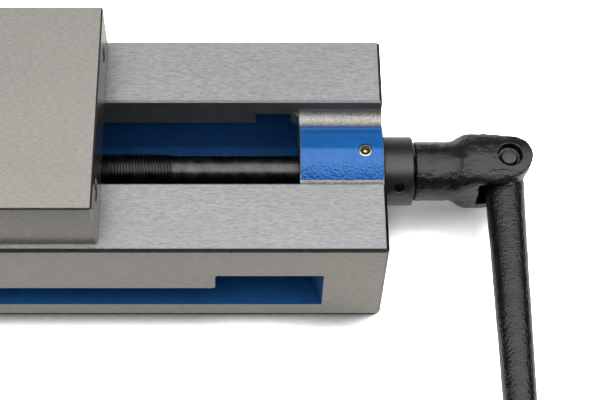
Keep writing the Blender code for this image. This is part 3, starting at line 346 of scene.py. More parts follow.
def make_finishes():
    """Every finish of the vise, by name."""
    shade = colours()
    lines_x = (300, 1900, 1900)
    lines_y = (1900, 300, 1900)
    return {
        "way": ground_metal("way_ground_steel", shade.way, 0.45, lines_x, 0.22, stretch=0.85),
        # Sides and ends are darker than the ways: painted shade on the upright faces.
        "side": ground_metal("side_shaded_ground_iron", shade.side, 0.30, lines_x, 0.15, stretch=0.4),
        "end": ground_metal("end_shaded_ground_iron", shade.side, 0.30, lines_y, 0.10, stretch=0.4),
        # Broken edges take copies of the side iron: a lighter one on the edges facing up and sideways as painted
        # highlight, a darker one on the rest as painted shade.
        "edge": ground_metal("edge_ground_steel", toned(shade.side, 1.3), 0.30, lines_x, 0.05, stretch=0.0),
        "dim_edge": ground_metal("dim_edge_ground_steel", toned(shade.side, 0.4), 0.30, lines_y, 0.05,
                                 stretch=0.0),
        # Dark iron of the slot walls: painted shade.
        "wall": shade_darkened_iron("slot_wall_shaded_iron", shade.wall),
        "jaw": ground_metal("jaw_ground_steel", shade.jaw, 0.46, lines_x, 0.16, cloud=6.0, stretch=0.85),
        # The jaw's ends and sides are darker copies of its top's steel: painted shade on the faces turned from the
        # light.
        "jaw_end": ground_metal("jaw_end_ground_steel", toned(shade.jaw, 0.58), 0.28, lines_y, 0.08, cloud=6.0,
                                stretch=0.4),
        "jaw_side": ground_metal("jaw_side_ground_steel", toned(shade.jaw, 0.50), 0.28, lines_x, 0.09, cloud=6.0,
                                 stretch=0.4),
        "plate": ground_metal("plate_hardened_steel", shade.plate, 0.40, lines_y, 0.10, stretch=0.4),
        "bright": turned_metal("bright_turned_steel", shade.plate, 0.22),
        "iron": ground_metal("nut_machined_iron", shade.iron, 0.40, (300, 900, 900), 0.16, stretch=0.3),
        "bare": bare_casting("cove_bare_casting", shade.bare),
        "blue": cast_paint("blue_cast_paint", shade.blue, 0.12, 620, 0.00004, sag=24.0),
        # Darker copy of the blue for the hollows and pockets: painted shade.
        "hollow_blue": cast_paint("hollow_blue_cast_paint", shade.hollow_blue, 0.32, 300, 0.00001),
        "oxide": black_oxide("screw_black_oxide", shade.oxide, 0.27),
        "bolt": black_oxide("bolt_black_oxide", toned(shade.oxide, 0.7), 0.34),
        "collar": satin_black("collar_satin_black", shade.collar),
        "enamel": hammered_enamel("head_hammered_enamel", shade.enamel, 0.18, 900, 0.00019),
        "arm": hammered_enamel("arm_hammered_enamel", shade.enamel, 0.11, 800, 0.00023),
        "pin": satin_black("pin_satin_black", toned(shade.collar, 1.7)),
        "brass": turned_metal("oiler_turned_brass", shade.brass, 0.20, 0.08),
        # Dark copy of the brass for the oiler's mouth: painted shade in the recess.
        "dark_brass": turned_metal("oiler_mouth_shaded_brass", toned(shade.brass, 0.08), 0.45, 0.2),
        "bronze": turned_metal("bush_turned_bronze", shade.bronze, 0.34),
        "rubber": soft_rubber("seal_matt_rubber"),
    }


FINISHES = {}


# Modelling steps

def clear_selection():
    """Leave nothing selected, in object mode."""
    if bpy.context.object is not None and bpy.context.object.mode != 'OBJECT':
        bpy.ops.object.mode_set(mode='OBJECT')
    bpy.ops.object.select_all(action='DESELECT')


def take(piece):
    """Make one piece the selected and active one."""
    clear_selection()
    piece.select_set(True)
    bpy.context.view_layer.objects.active = piece


def edit(piece, everything=True):
    """Open a piece in edit mode."""
    take(piece)
    bpy.ops.object.mode_set(mode='EDIT')
    bpy.ops.mesh.select_all(action='SELECT' if everything else 'DESELECT')


def done():
    """Go back to object mode."""
    bpy.ops.object.mode_set(mode='OBJECT')


def named(name):
    """Name the new active object and put its place into its mesh."""
    piece = bpy.context.object
    piece.name = name
    piece.data.name = name
    bpy.ops.object.transform_apply(location=True, rotation=True, scale=True)
    return piece


def copy_of(node, name):
    """Merged copy of a solid's mesh, to shape further."""
    piece = bpy.data.objects.new(name, frame["nodes"][node].data.copy())
    bpy.context.scene.collection.objects.link(piece)
    piece.data.materials.clear()
    edit(piece)
    bpy.ops.mesh.customdata_custom_splitnormals_clear()
    bpy.ops.mesh.remove_doubles(threshold=MERGE)
    bpy.ops.mesh.dissolve_limited(angle_limit=math.radians(0.5))
    done()
    return piece


def apply_change(piece, kind, **settings):
    """Add a modifier with its settings and apply it."""
    take(piece)
    change = piece.modifiers.new("Change", kind)
    for name, value in settings.items():
        setattr(change, name, value)
    bpy.ops.object.modifier_apply(modifier=change.name)


def combine(piece, tool, operation='DIFFERENCE'):
    """Cut, unite or intersect a piece with a tool, which is then gone."""
    apply_change(piece, 'BOOLEAN', object=tool, operation=operation, solver='EXACT')
    bpy.data.objects.remove(tool, do_unlink=True)


def break_edges(piece, width, segments=2, angle=32.0):
    """Fine rounding on the sharp edges."""
    apply_change(piece, 'BEVEL', width=width, segments=segments, limit_method='ANGLE',
                 angle_limit=math.radians(angle), harden_normals=False, use_clamp_overlap=True)


def smooth(piece, angle=30.0, flat_faces=False):
    """Smooth shading that keeps the real edges and, where asked, the large flat faces flat."""
    take(piece)
    bpy.ops.object.shade_smooth_by_angle(angle=math.radians(angle))
    if flat_faces:
        apply_change(piece, 'WEIGHTED_NORMAL', keep_sharp=True, weight=100)


def round_edges(piece, wanted, width, segments, clamp=True):
    """Round the edges that a rule picks."""
    edit(piece, everything=False)
    bpy.context.tool_settings.mesh_select_mode = (False, True, False)
    mesh = bmesh.from_edit_mesh(piece.data)
    count = 0
    for line in mesh.edges:
        line.select = wanted(line)
        count += line.select
    mesh.select_flush_mode()
    bmesh.update_edit_mesh(piece.data)
    if count:
        bpy.ops.mesh.bevel(offset=width, segments=segments, affect='EDGES', clamp_overlap=clamp)
    bpy.context.tool_settings.mesh_select_mode = (True, False, False)
    done()


def block(name, low, high):
    """Box between two corners, as the start of a piece or as a cutter."""
    clear_selection()
    low, high = Vector(low), Vector(high)
    bpy.ops.mesh.primitive_cube_add(size=1.0, location=(low + high) / 2)
    bpy.context.object.scale = high - low
    return named(name)


def cylinder(name, centre, axis, radius, depth, sides=48):
    """Cylinder along an axis, as the start of a piece or as a cutter."""
    clear_selection()
    turn = UP.rotation_difference(Vector(axis)).to_euler()
    bpy.ops.mesh.primitive_cylinder_add(vertices=sides, radius=radius, depth=depth, location=centre,
                                        rotation=turn)
    return named(name)


def cone(name, top, axis, wide, narrow, depth):
    """Shallow cone that opens towards an axis."""
    clear_selection()
    turn = UP.rotation_difference(Vector(axis)).to_euler()
    centre = top - axis * (depth / 2 - 0.00001)
    bpy.ops.mesh.primitive_cone_add(vertices=48, radius1=narrow, radius2=wide, depth=depth, location=centre,
                                    rotation=turn)
    return named(name)


def open_line(name, points):
    """Line through points, left open in edit mode."""
    clear_selection()
    bpy.ops.mesh.primitive_plane_add(size=0.0001, location=points[0])
    piece = named(name)
    edit(piece)
    bpy.ops.mesh.merge(type='CENTER')
    for before, after in zip(points, points[1:]):
        bpy.ops.mesh.extrude_region_move(TRANSFORM_OT_translate={"value": after - before})
    return piece


def lathe(name, profile, centre, axis, across, steps=64):
    """Profile of (along, out) points spun about an axis."""
    piece = open_line(name, [centre + axis * along + across * out for along, out in profile])
    bpy.ops.mesh.select_all(action='SELECT')
    bpy.ops.mesh.spin(steps=steps, angle=math.tau, center=centre, axis=axis)
    close_mesh()
    done()
    return piece


def close_mesh():
    """Merge what meets and turn the faces out, in edit mode."""
    bpy.ops.mesh.select_all(action='SELECT')
    bpy.ops.mesh.remove_doubles(threshold=MERGE)
    bpy.ops.mesh.normals_make_consistent(inside=False)


def helix(name, ridge, start, advance, turns, steps):
    """Ridge of (along, out) points wound about X from a start point."""
    sense = 1 if advance > 0 else -1
    piece = open_line(name, [Vector((sense * along, 0, out)) for along, out in ridge])
    done()
    apply_change(piece, 'SCREW', axis='X', angle=math.tau, screw_offset=advance, iterations=turns,
                 steps=steps, render_steps=steps, use_merge_vertices=False)
    edit(piece)
    bpy.ops.mesh.remove_doubles(threshold=MERGE)
    bpy.ops.transform.translate(value=start)
    done()
    return piece


def arc(centre, radius, start, end, steps):
    """Points of an arc in (along, out), angles in degrees from the axis."""
    points = []
    for step in range(steps + 1):
        angle = math.radians(start + (end - start) * step / steps)
        points.append((centre[0] + radius * math.cos(angle), centre[1] + radius * math.sin(angle)))
    return points


def recast(piece, grain, passes):
    """Rework a piece into one even mesh with softly cast edges."""
    apply_change(piece, 'REMESH', mode='VOXEL', voxel_size=grain, use_smooth_shade=True)
    apply_change(piece, 'SMOOTH', factor=0.5, iterations=passes)


def soften_between(piece, low_x, high_x, fade, passes):
    """Blend the shape between two places along X on the sides that face up and down."""
    group = piece.vertex_groups.new(name="blend")
    for vertex in piece.data.vertices:
        outside = max(low_x - vertex.co.x, vertex.co.x - high_x, 0.0)
        across, up = vertex.co.y, vertex.co.z - SCREW_Z
        facing = abs(math.cos(math.atan2(across, up) + SECTION_TURN))
        weight = (1.0 - outside / fade) * min(max((facing - 0.35) / 0.4, 0.0), 1.0)
        if weight > 0.0:
            group.add([vertex.index], weight, 'REPLACE')
    apply_change(piece, 'SMOOTH', factor=0.5, iterations=passes, vertex_group="blend")
    piece.vertex_groups.clear()


def uneven(piece, size, strength):
    """Slight unevenness of a casting, in the mesh itself."""
    texture = bpy.data.textures.new(f"{piece.name}_unevenness", 'CLOUDS')
    texture.noise_scale = size
    texture.noise_depth = 1
    apply_change(piece, 'DISPLACE', texture=texture, strength=strength, mid_level=0.5,
                 texture_coords='LOCAL')


def keep_inside(piece, low, high):
    """Hold a piece's surface inside a box."""
    for vertex in piece.data.vertices:
        for axis in range(3):
            vertex.co[axis] = min(max(vertex.co[axis], low[axis]), high[axis])


def paint(piece, choose):
    """Give each face the finish that a rule names for its middle and its normal."""
    names = []
    for face in piece.data.polygons:
        name = choose(face.center, face.normal)
        if name not in names:
            names.append(name)
            piece.data.materials.append(FINISHES[name])
        face.material_index = names.index(name)


def coat(piece, name):
    """Give a whole piece one finish."""
    piece.data.materials.clear()
    piece.data.materials.append(FINISHES[name])


def mount(piece, body, slot, *nodes):
    """Put a piece on its body and hide the solids it stands for. The slot is not used."""
    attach(piece, body)
    if nodes:
        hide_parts(*nodes)


def finish_off(piece, name, body, slot, *nodes, angle=30.0, flat_faces=False):
    """Give a whole piece one finish, smooth it and put it on its body."""
    coat(piece, name)
    smooth(piece, angle, flat_faces)
    mount(piece, body, slot, *nodes)


def dress(node, name):
    """Give a solid that stays in view its finish."""
    solid = frame["nodes"][node]
    if not solid.material_slots:
        solid.data.materials.append(FINISHES[name])
    for slot in solid.material_slots:
        slot.material = FINISHES[name]


# Bed

RAIL_UNDERSIDE = BED_HIGH.z - 0.024
SLOT_HALF = 0.029
BLOCK_X = BED_HIGH.x - 0.051
COVE_Z = BED_HIGH.z - 0.0130
COVE_INNER = 0.0194
COVE_RISE = 0.0068
BOSS_RADIUS = 0.0294
HIGH_POCKET_TOP = 0.0532
LEDGE = 0.0145
POCKET_END_X = 0.1835
POCKET_BACK = 0.050
HOLLOW_HALF = 0.0405
SLOT_START_X = -0.1605
PAINT_THICKNESS = 0.00012
PAINT_HALF = 0.0193


def is_slanted(normal):
    """Whether a face looks along no axis, as broken edges do."""
    return max(abs(part) for part in normal) < SLANTED


def bed_finish(place, normal):
    """Finish of the bed's surface at a point. The small amounts tell a face from the ones beside it."""
    across_x = abs(normal.x) > FACING
    inside = abs(place.y) < HOLLOW_HALF and place.z < BED_HIGH.z - 0.0014
    if inside and place.x > BLOCK_X + 0.0002:
        spoke = math.hypot(place.y, place.z - SCREW_Z)
        if across_x:
            return "end"
        if spoke < BOSS_RADIUS - 0.0012:
            return "bright"
        # Above the cove, the rails' walls and the cove's steep rise take the dark wall iron, painted shade in the
        # crease; the cove floor stays bare.
        return "wall" if place.z > COVE_Z + 0.0030 else "bare"
    if inside and place.x > BLOCK_X - sizes().hollow - 0.0002 and normal.z > FACING and place.z > COVE_Z - 0.0006:
        return "bare"
    if inside and place.x > SLOT_START_X:
        # The rails' inner walls take the dark wall iron: painted shade deep in the slot.
        on_rail = abs(normal.y) > 0.7 and abs(place.y) < SLOT_HALF + 0.002
        # The hollow's faces take the darker blue: painted shade.
        return "wall" if on_rail and place.z > RAIL_UNDERSIDE else "hollow_blue"
    # The side pockets take the darker blue as well: painted shade.
    in_pocket = POCKET_BACK < abs(place.y) < BED_HIGH.y - 0.0003 and abs(place.x) < POCKET_END_X
    if in_pocket and LEDGE - 0.001 < place.z < HIGH_POCKET_TOP + 0.001:
        return "hollow_blue"
    if place.z > BED_HIGH.z - 0.0003 and normal.z > FACING or abs(place.y) < SLOT_HALF + 0.002:
        return "end" if across_x else "way"
    # Edges facing up and sideways get the lighter copy as painted highlight, the others the darker copy as painted
    # shade.
    if is_slanted(normal):
        return "edge" if abs(normal.z) > 0.3 and abs(normal.y) > 0.3 else "dim_edge"
    return "end" if across_x else "side"


def pocket_corner(line):
    """Whether an edge runs across into a side pocket."""
    first, second = (vertex.co for vertex in line.verts)
    middle = (first + second) / 2
    along_y = abs(first.x - second.x) < 0.0002 and abs(first.z - second.z) < 0.0002
    deep = POCKET_BACK + 0.0005 < abs(middle.y) < BED_HIGH.y - 0.001
    return deep and along_y and LEDGE - 0.0002 < middle.z < HIGH_POCKET_TOP + 0.0002 \
        and len(line.link_faces) == 2 and line.calc_face_angle(0.0) > math.radians(20)


def slot_fillet(side):
    """Rounded corner in plan between the slot's wall and the bearing block, as a solid to add."""
    reach = sizes().hollow
    wall = SLOT_HALF + 0.0005
    corner = block("slot_fillet", (BLOCK_X - reach, min(side * (SLOT_HALF - reach), side * wall), RAIL_UNDERSIDE),
                   (BLOCK_X + 0.0005, max(side * (SLOT_HALF - reach), side * wall), COVE_Z))
    centre = Vector((BLOCK_X - reach, side * (SLOT_HALF - reach), (RAIL_UNDERSIDE + COVE_Z) / 2))
    combine(corner, cylinder("round", centre, UP, reach, 0.03, 64))
    return corner


def cove_hollow(side):
    """Hollow floor of a cove, rising to the slot's wall and slightly to the boss, as a solid to add."""
    reach = sizes().cove
    near, far = side * COVE_INNER, side * (SLOT_HALF + 0.0005)
    strip = block("cove_hollow", (BLOCK_X, min(near, far), COVE_Z - 0.0005),
                  (BED_HIGH.x, max(near, far), COVE_Z + COVE_RISE))
    centre = Vector(((BLOCK_X + BED_HIGH.x) / 2, side * (COVE_INNER + 0.0013), COVE_Z + reach))
    combine(strip, cylinder("round", centre, ALONG, reach, 0.08, 96))
    return strip


def slot_rim(line):
    """Whether an edge is the slot's top edge."""
    return all(abs(abs(vertex.co.y) - SLOT_HALF) < 0.0001 and abs(vertex.co.z - BED_HIGH.z) < 0.0001
               for vertex in line.verts)


def make_bed():
    """Ground bed with painted hollows, rounded pocket corners and bare coves."""
    bed = copy_of("body", "bed_casting")
    round_edges(bed, pocket_corner, sizes().pocket, 6, clamp=False)
    for side in (-1, 1):
        combine(bed, slot_fillet(side), 'UNION')
        combine(bed, cove_hollow(side), 'UNION')
    round_edges(bed, slot_rim, sizes().rim, 1)
    break_edges(bed, sizes().edge)
    paint(bed, bed_finish)
    smooth(bed, flat_faces=True)
    mount(bed, "bed", "ground_iron", "body")


def make_boss_paint():
    """Thick coat of paint on the bearing boss, stopping short of its ends."""
    outer = BOSS_RADIUS + PAINT_THICKNESS
    inner = BOSS_RADIUS - 0.0006
    low, high, rim = BLOCK_X + 0.0006, BED_HIGH.x - 0.0003, 0.0001
    profile = [(low, inner), (low, outer - rim), (low + rim, outer), (high - rim, outer), (high, outer - rim),
               (high, inner), (low, inner)]
    coat_piece = lathe("boss_paint_coat", profile, Vector((0, 0, SCREW_Z)), ALONG, UP, 240)
    keep = block("keep", (BLOCK_X - 0.01, -PAINT_HALF, SCREW_Z), (BED_HIGH.x + 0.01, PAINT_HALF, BED_HIGH.z))
    combine(coat_piece, keep, 'INTERSECT')
    middle = (OILER_LOW + OILER_HIGH) / 2
    combine(coat_piece, cylinder("oiler_hole", middle, UP, OILER_RADIUS + 0.0002, 0.03, 40))
    finish_off(coat_piece, "blue", "bed", "ground_iron")


# Jaws

TAPPED_RADIUS = 0.0063
TAPPED_DEPTH = 0.022


def jaw_finish(place, normal):
    """Finish of a jaw block's surface: top, ends, sides and broken edges differ, the ends and sides being darker
    copies of the top as painted shade.
    """
    # Edges facing sideways get the lighter copy as painted highlight, the others the darker copy as painted shade.
    if is_slanted(normal):
        return "edge" if abs(normal.y) > 0.3 else "dim_edge"
    if abs(normal.x) > FACING:
        return "jaw_end"
    return "jaw_side" if abs(normal.y) > FACING else "jaw"


def finish_jaw(jaw, body, slot, node):
    """Break a jaw block's edges, give each side its finish and put it on its body."""
    break_edges(jaw, sizes().edge)
    paint(jaw, jaw_finish)
    smooth(jaw, flat_faces=True)
    mount(jaw, body, slot, node)


def hole_rim(face_x, middles, radius):
    """Rule for the rims of the round holes in a face across X."""
    def wanted(line):
        first, second = (vertex.co for vertex in line.verts)
        if max(abs(first.x - face_x), abs(second.x - face_x)) > 0.0001:
            return False
        return any(math.hypot(first.y - y, first.z - z) < radius + 0.0004
                   and math.hypot(second.y - y, second.z - z) < radius + 0.0004 for y, z in middles)
    return wanted


def tapped_thread(name, centre, radius, depth):
    """Thread seen inside a tapped hole, cut along minus X from a face."""
    pitch = sizes().tapped_pitch
    turns = int(depth / pitch)
    ridge = [(0.0, radius), (0.25 * pitch, radius - 0.0007), (0.5 * pitch, radius - 0.0007), (0.75 * pitch, radius),
             (pitch, radius)]
    return helix(name, ridge, centre, -pitch, turns, 28)


def make_jaws():
    """Fixed and movable jaw blocks, with their tapped holes."""
    screw_low, screw_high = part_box("movable_plate_screw_back")
    hole_z = (screw_low.z + screw_high.z) / 2
    hole_y = (screw_low.y + screw_high.y) / 2
    jaw = copy_of("movable_jaw", "movable_jaw_block")
    middles = [(hole_y, hole_z), (-hole_y, hole_z)]
    round_edges(jaw, hole_rim(JAW_HIGH.x, middles, TAPPED_RADIUS), 0.0008, 1)
    finish_jaw(jaw, "jaw_carriage", "warm_steel", "movable_jaw")
    for side, label in ((-1, "front"), (1, "back")):
        start = Vector((JAW_HIGH.x - 0.0010, side * hole_y, hole_z))
        thread = tapped_thread(f"jaw_rear_thread_{label}", start, TAPPED_RADIUS + 0.00005, TAPPED_DEPTH)
        edit(thread)
        bpy.ops.mesh.normals_make_consistent(inside=True)
        done()
        finish_off(thread, "bright", "jaw_carriage", "warm_steel", angle=50.0)
    finish_jaw(copy_of("fixed_jaw", "fixed_jaw_block"), "bed", "ground_iron", "fixed_jaw")


def make_plates():
    """Hardened jaw plates with broken edges."""
    for node, name, body in (("fixed_jaw_plate", "fixed_jaw_hard_plate", "bed"),
                             ("movable_jaw_plate", "movable_jaw_hard_plate", "jaw_carriage")):
        plate = copy_of(node, name)
        break_edges(plate, sizes().edge)
        finish_off(plate, "plate", body, "bright_steel", node, flat_faces=True)


# Cap screws

SCREW_SIDES = 72


def cap_screw(name, node, axis):
    """Cap screw with a knurled head and a hexagon socket, in a solid's place."""
    low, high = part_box(node)
    middle = (low + high) / 2
    top = max(low.dot(axis), high.dot(axis)) * axis + middle - axis * middle.dot(axis)
    total = abs((high - low).dot(axis))
    across = ACROSS if abs(axis.y) < 0.5 else ALONG
    head_radius = (high - low).dot(across) / 2
    radius = head_radius * 0.66
    head = head_radius * 1.33
    edge = head_radius * 0.10
    profile = [(0.0, 0.0), (0.0, head_radius * 0.80), (-edge * 0.6, head_radius * 0.88), (-edge, head_radius * 0.98),
               (-edge * 1.4, head_radius), (-head + edge * 0.4, head_radius), (-head, head_radius * 0.97),
               (-head, radius), (edge - total, radius), (-total, radius - edge), (-total, 0.0)]
    screw = lathe(name, profile, top, axis, across, SCREW_SIDES)
    knurl(screw, top, axis, head_radius, (edge * 1.3, head - edge * 0.3))
    socket = cylinder("socket", top - axis * head * 0.28, axis, head_radius * 0.6, head * 0.56, 6)
    mouth = cone("mouth", top, axis, head_radius * 0.66, head_radius * 0.54, head * 0.09)
    combine(screw, socket)
    combine(screw, mouth)
    smooth(screw)
    return screw


def knurl(screw, top, axis, radius, span):
    """Press every second line of a head's side inwards."""
    first = axis.orthogonal().normalized()
    second = axis.cross(first)
    for vertex in screw.data.vertices:
        offset = vertex.co - top
        down = -offset.dot(axis)
        spoke = offset + axis * down
        if span[0] < down < span[1] and spoke.length > radius * 0.99:
            turn = round(math.atan2(spoke.dot(first), spoke.dot(second)) / math.tau * SCREW_SIDES)
            if turn % 2:
                vertex.co -= spoke * 0.035


def make_screws():
    """The jaw bolts and the plates' cap screws."""
    for kind, body, axis in (("fixed_jaw_bolt", "bed", UP), ("fixed_plate_screw", "bed", ALONG),
                             ("movable_plate_screw", "jaw_carriage", -ALONG)):
        for node in (f"{kind}_front", f"{kind}_back"):
            screw = cap_screw(f"{node}_knurled", node, axis)
            coat(screw, "bolt")
            mount(screw, body, "black_steel", node)


# Lead screw

THREAD_START = -0.148
THREAD_END = 0.0916
THREAD_RADIUS = 0.0111
SHANK_RADIUS = 0.0096
THREAD_STEPS = 36
FLANGE_LOW, FLANGE_HIGH = 0.1798, 0.1848
FLANGE_RADIUS, FLANGE_RIM_RADIUS, FLANGE_RIM = 0.0155, 0.0151, 0.0004
HEXAGON_WIDTH = 0.016


def run_out(piece, root, low, high):
    """Fade the thread into the shank at both ends and square its ends off."""
    pitch = sizes().pitch
    for vertex in piece.data.vertices:
        out = Vector((0, vertex.co.y, vertex.co.z - SCREW_Z))
        x = min(max(vertex.co.x, low), high)
        end = min((x - low) / (0.8 * pitch), (high - x) / (2.2 * pitch), 1.0)
        base = root if x < (low + high) / 2 else root + (SHANK_RADIUS - root) * max(0.0, 1 - (high - x) / (6 * pitch))
        radius = base + (out.length - root) * end
        if x > high - 6 * pitch:
            radius = min(max(radius, base), THREAD_RADIUS)
        if x == high:
            radius = SHANK_RADIUS
        vertex.co = Vector((x, 0, SCREW_Z)) + out.normalized() * radius


def select_ring(piece, x):
    """Select the open ring at one place along X."""
    bpy.ops.mesh.select_all(action='DESELECT')
    mesh = bmesh.from_edit_mesh(piece.data)
    for line in mesh.edges:
        line.select = line.is_boundary and all(abs(vertex.co.x - x) < MERGE for vertex in line.verts)
    mesh.select_flush_mode()
    bmesh.update_edit_mesh(piece.data)


def extend(x, radius, stations):
    """Extrude the selected ring through (x, radius) stations and close it."""
    for next_x, next_radius in stations:
        bpy.ops.mesh.extrude_region_move(TRANSFORM_OT_translate={"value": (next_x - x, 0, 0)})
        share = next_radius / radius
        bpy.ops.transform.resize(value=(1, share, share), center_override=(next_x, 0, SCREW_Z))
        x, radius = next_x, next_radius
    bpy.ops.mesh.edge_face_add()


def make_lead_screw():
    """Left-hand lead screw with its real thread, shank, thrust flange and hexagon end."""
    pitch = sizes().pitch
    root = THREAD_RADIUS - sizes().thread
    ridge = [(0.0, root), (0.10 * pitch, root), (0.43 * pitch, THREAD_RADIUS), (0.57 * pitch, THREAD_RADIUS),
             (0.90 * pitch, root), (pitch, root)]
    turns = math.ceil((THREAD_END - THREAD_START) / pitch) + 2
    start = Vector((THREAD_END + pitch, 0, SCREW_Z))
    screw = helix("lead_screw_threaded", ridge, start, -pitch, turns, THREAD_STEPS)
    run_out(screw, root, THREAD_START, THREAD_END)
    head_x = HEAD_LOW.x + 0.0002
    edit(screw)
    bpy.ops.mesh.remove_doubles(threshold=MERGE)
    bpy.context.tool_settings.mesh_select_mode = (False, True, False)
    select_ring(screw, THREAD_END)
    extend(THREAD_END, SHANK_RADIUS,
           [(FLANGE_LOW, SHANK_RADIUS), (FLANGE_LOW, FLANGE_RIM_RADIUS), (FLANGE_LOW + FLANGE_RIM, FLANGE_RADIUS),
            (FLANGE_HIGH - FLANGE_RIM, FLANGE_RADIUS), (FLANGE_HIGH, FLANGE_RIM_RADIUS),
            (FLANGE_HIGH, SHANK_RADIUS), (head_x, SHANK_RADIUS), (head_x, 0.008)])
    select_ring(screw, THREAD_START)
    bpy.ops.mesh.edge_face_add()
    bpy.context.tool_settings.mesh_select_mode = (True, False, False)
    bpy.ops.mesh.select_all(action='SELECT')
    bpy.ops.mesh.normals_make_consistent(inside=False)
    done()
    clear_selection()
    middle = (head_x + SCREW_HIGH.x) / 2
    bpy.ops.mesh.primitive_cylinder_add(vertices=6, radius=HEXAGON_WIDTH / math.sqrt(3),
                                        depth=SCREW_HIGH.x - head_x, location=(middle, 0, SCREW_Z))
    hexagon = bpy.context.object
    hexagon.matrix_world = Matrix.Translation((middle, 0, SCREW_Z)) @ Matrix.Rotation(PIN_TILT, 4, 'X') \
        @ Matrix.Rotation(math.pi / 2, 4, 'Y')
    hexagon = named("hexagon_end")
    break_edges(hexagon, 0.0006, 2)
    take(screw)
    hexagon.select_set(True)
    bpy.context.view_layer.objects.active = screw
    bpy.ops.object.join()
    finish_off(screw, "oxide", "screw_train", "screw_steel", "lead_screw", angle=40.0)


# Bearing, nut and the hidden pieces

def dress_inner_pieces():
    """Finishes of the solids that stay in view inside the bed and the oiler."""
    for node, name in (("thrust_washer_block", "bright"), ("thrust_roller_cage", "bright"),
                       ("thrust_washer_screw", "bright"), ("screw_seal", "rubber"), ("screw_bush", "bronze"),
                       ("fixed_jaw_key", "plate"), ("jaw_segment", "bright"), ("oiler_spring", "bright"),
                       ("oiler_ball", "bright")):
        dress(node, name)
    nut = copy_of("slide_nut", "slide_nut_machined")
    break_edges(nut, 0.0004)
    finish_off(nut, "iron", "jaw_carriage", "nut_iron", "slide_nut")


# Collar

def make_collar():
    """Turned collar with rounded rims and its cross hole."""
    low, high = COLLAR_LOW.x, COLLAR_HIGH.x
    radius = (COLLAR_HIGH.y - COLLAR_LOW.y) / 2
    rim = 0.0010
    inner = SHANK_RADIUS + 0.0003
    centre = Vector((0, 0, SCREW_Z))
    profile = arc((high - rim, radius - rim), rim, 0, 90, 5) + arc((low + rim, radius - rim), rim, 90, 180, 5)
    profile += [(low, inner + 0.0004), (low + 0.0004, inner), (high - 0.0004, inner), (high, inner + 0.0004)]
    profile.append(profile[0])
    collar = lathe("collar_turned", profile, centre, ALONG, UP, 96)
    set_low, set_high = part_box("collar_set_screw")
    screw_middle = (set_low + set_high) / 2
    outward = Vector((0, screw_middle.y, screw_middle.z - SCREW_Z)).normalized()
    face = Vector((screw_middle.x, 0, SCREW_Z)) + outward * radius
    combine(collar, cylinder("hole", face - outward * 0.006, outward, 0.0033, 0.016, 36))
    combine(collar, cone("mouth", face + outward * 0.0002, outward, 0.0041, 0.0033, 0.0008))
    finish_off(collar, "collar", "screw_train", "black_steel", "collar", angle=28.0)
    top = face - outward * 0.0015
    edge = [(0.0, 0.0), (0.0, 0.0026), (-0.0004, 0.0030), (-0.0081, 0.0030), (-0.0085, 0.0026), (-0.0085, 0.0)]
    screw = lathe("collar_set_screw_turned", edge, top, outward, ALONG, 36)
    combine(screw, cylinder("socket", top - outward * 0.001, outward, 0.00175, 0.004, 6))
    finish_off(screw, "bolt", "screw_train", "bright_steel", "collar_set_screw")


# Oiler

def oiler_finish(place, normal, centre, mouth):
    """Finish of the oiler: the mouth round the ball takes a dark copy of the brass as painted shade in the recess."""
    away = math.hypot(place.x - centre.x, place.y - centre.y)
    return "dark_brass" if away < mouth and place.z > OILER_LOW.z + 0.0003 else "brass"


def make_oiler():
    """Brass shell of the ball oiler with its rolled lip."""
    centre = Vector(((OILER_LOW.x + OILER_HIGH.x) / 2, (OILER_LOW.y + OILER_HIGH.y) / 2, 0))
    top = OILER_HIGH.z
    bottom = OILER_LOW.z
    radius = OILER_RADIUS
    throat = 0.0016
    inside = 0.0021
    lip = 0.00035
    ball_z = sum(corner.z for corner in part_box("oiler_ball")) / 2
    profile = arc((top - lip, radius - lip), lip, 0, 90, 4) + [(bottom + 0.0003, radius), (bottom, radius - 0.0003)]
    profile += [(bottom, inside), (ball_z, inside), (ball_z + 0.0013, throat), (top - 0.0008, throat + 0.0002)]
    profile += [(top - 0.0006, throat + 0.0012), (top - 0.0001, throat + 0.0014), (top, throat + 0.0015)]
    profile.append(profile[0])
    shell = lathe("oiler_shell_turned", profile, centre, UP, ALONG, 48)
    paint(shell, lambda place, normal: oiler_finish(place, normal, centre, throat + 0.00145))
    smooth(shell, 40.0)
    mount(shell, "bed", "brass", "oiler_shell")


# Handle

FORK_RADIUS = 0.0252
PIN_HALF = 0.0211
PIN_RADIUS = 0.00475
WELL_RADIUS = 0.0073
SECTION_TURN = math.radians(16)
SECTION_FROM = 0.014
FLATTENING = 0.018
FLARE_X = (0.2580, 0.2780)


def square_up(head):
    """Flatten the cast head's round section slightly on four sides."""
    for vertex in head.data.vertices:
        across, up = vertex.co.y, vertex.co.z - SCREW_Z
        away = math.hypot(across, up)
        if away > SECTION_FROM:
            turn = math.atan2(across, up) + SECTION_TURN
            near_end = min(max((vertex.co.x - HEAD_LOW.x - 0.001) / 0.004, 0.0), 1.0)
            grow = 1.0 - FLATTENING * near_end * math.cos(4 * turn)
            vertex.co.y, vertex.co.z = across * grow, SCREW_Z + up * grow


def make_head():
    """Cast fork head: soft edges, a blended flare and a deep well around the pin."""
    head = copy_of("handle_head", "handle_head_cast")
    depth = sizes().well
    for end in (-1, 1):
        centre = PIN_CENTRE + PIN_AXIS * end * (FORK_RADIUS - depth / 2 + 0.001)
        combine(head, cylinder("well", centre, PIN_AXIS, WELL_RADIUS, depth + 0.002, 64))
    recast(head, sizes().head_grain, 6)
    soften_between(head, *FLARE_X, 0.004, 260)
    square_up(head)
    uneven(head, 0.005, 0.0005)
    keep_inside(head, HEAD_LOW, HEAD_HIGH)
    finish_off(head, "enamel", "screw_train", "black_enamel", "handle_head", angle=60.0)


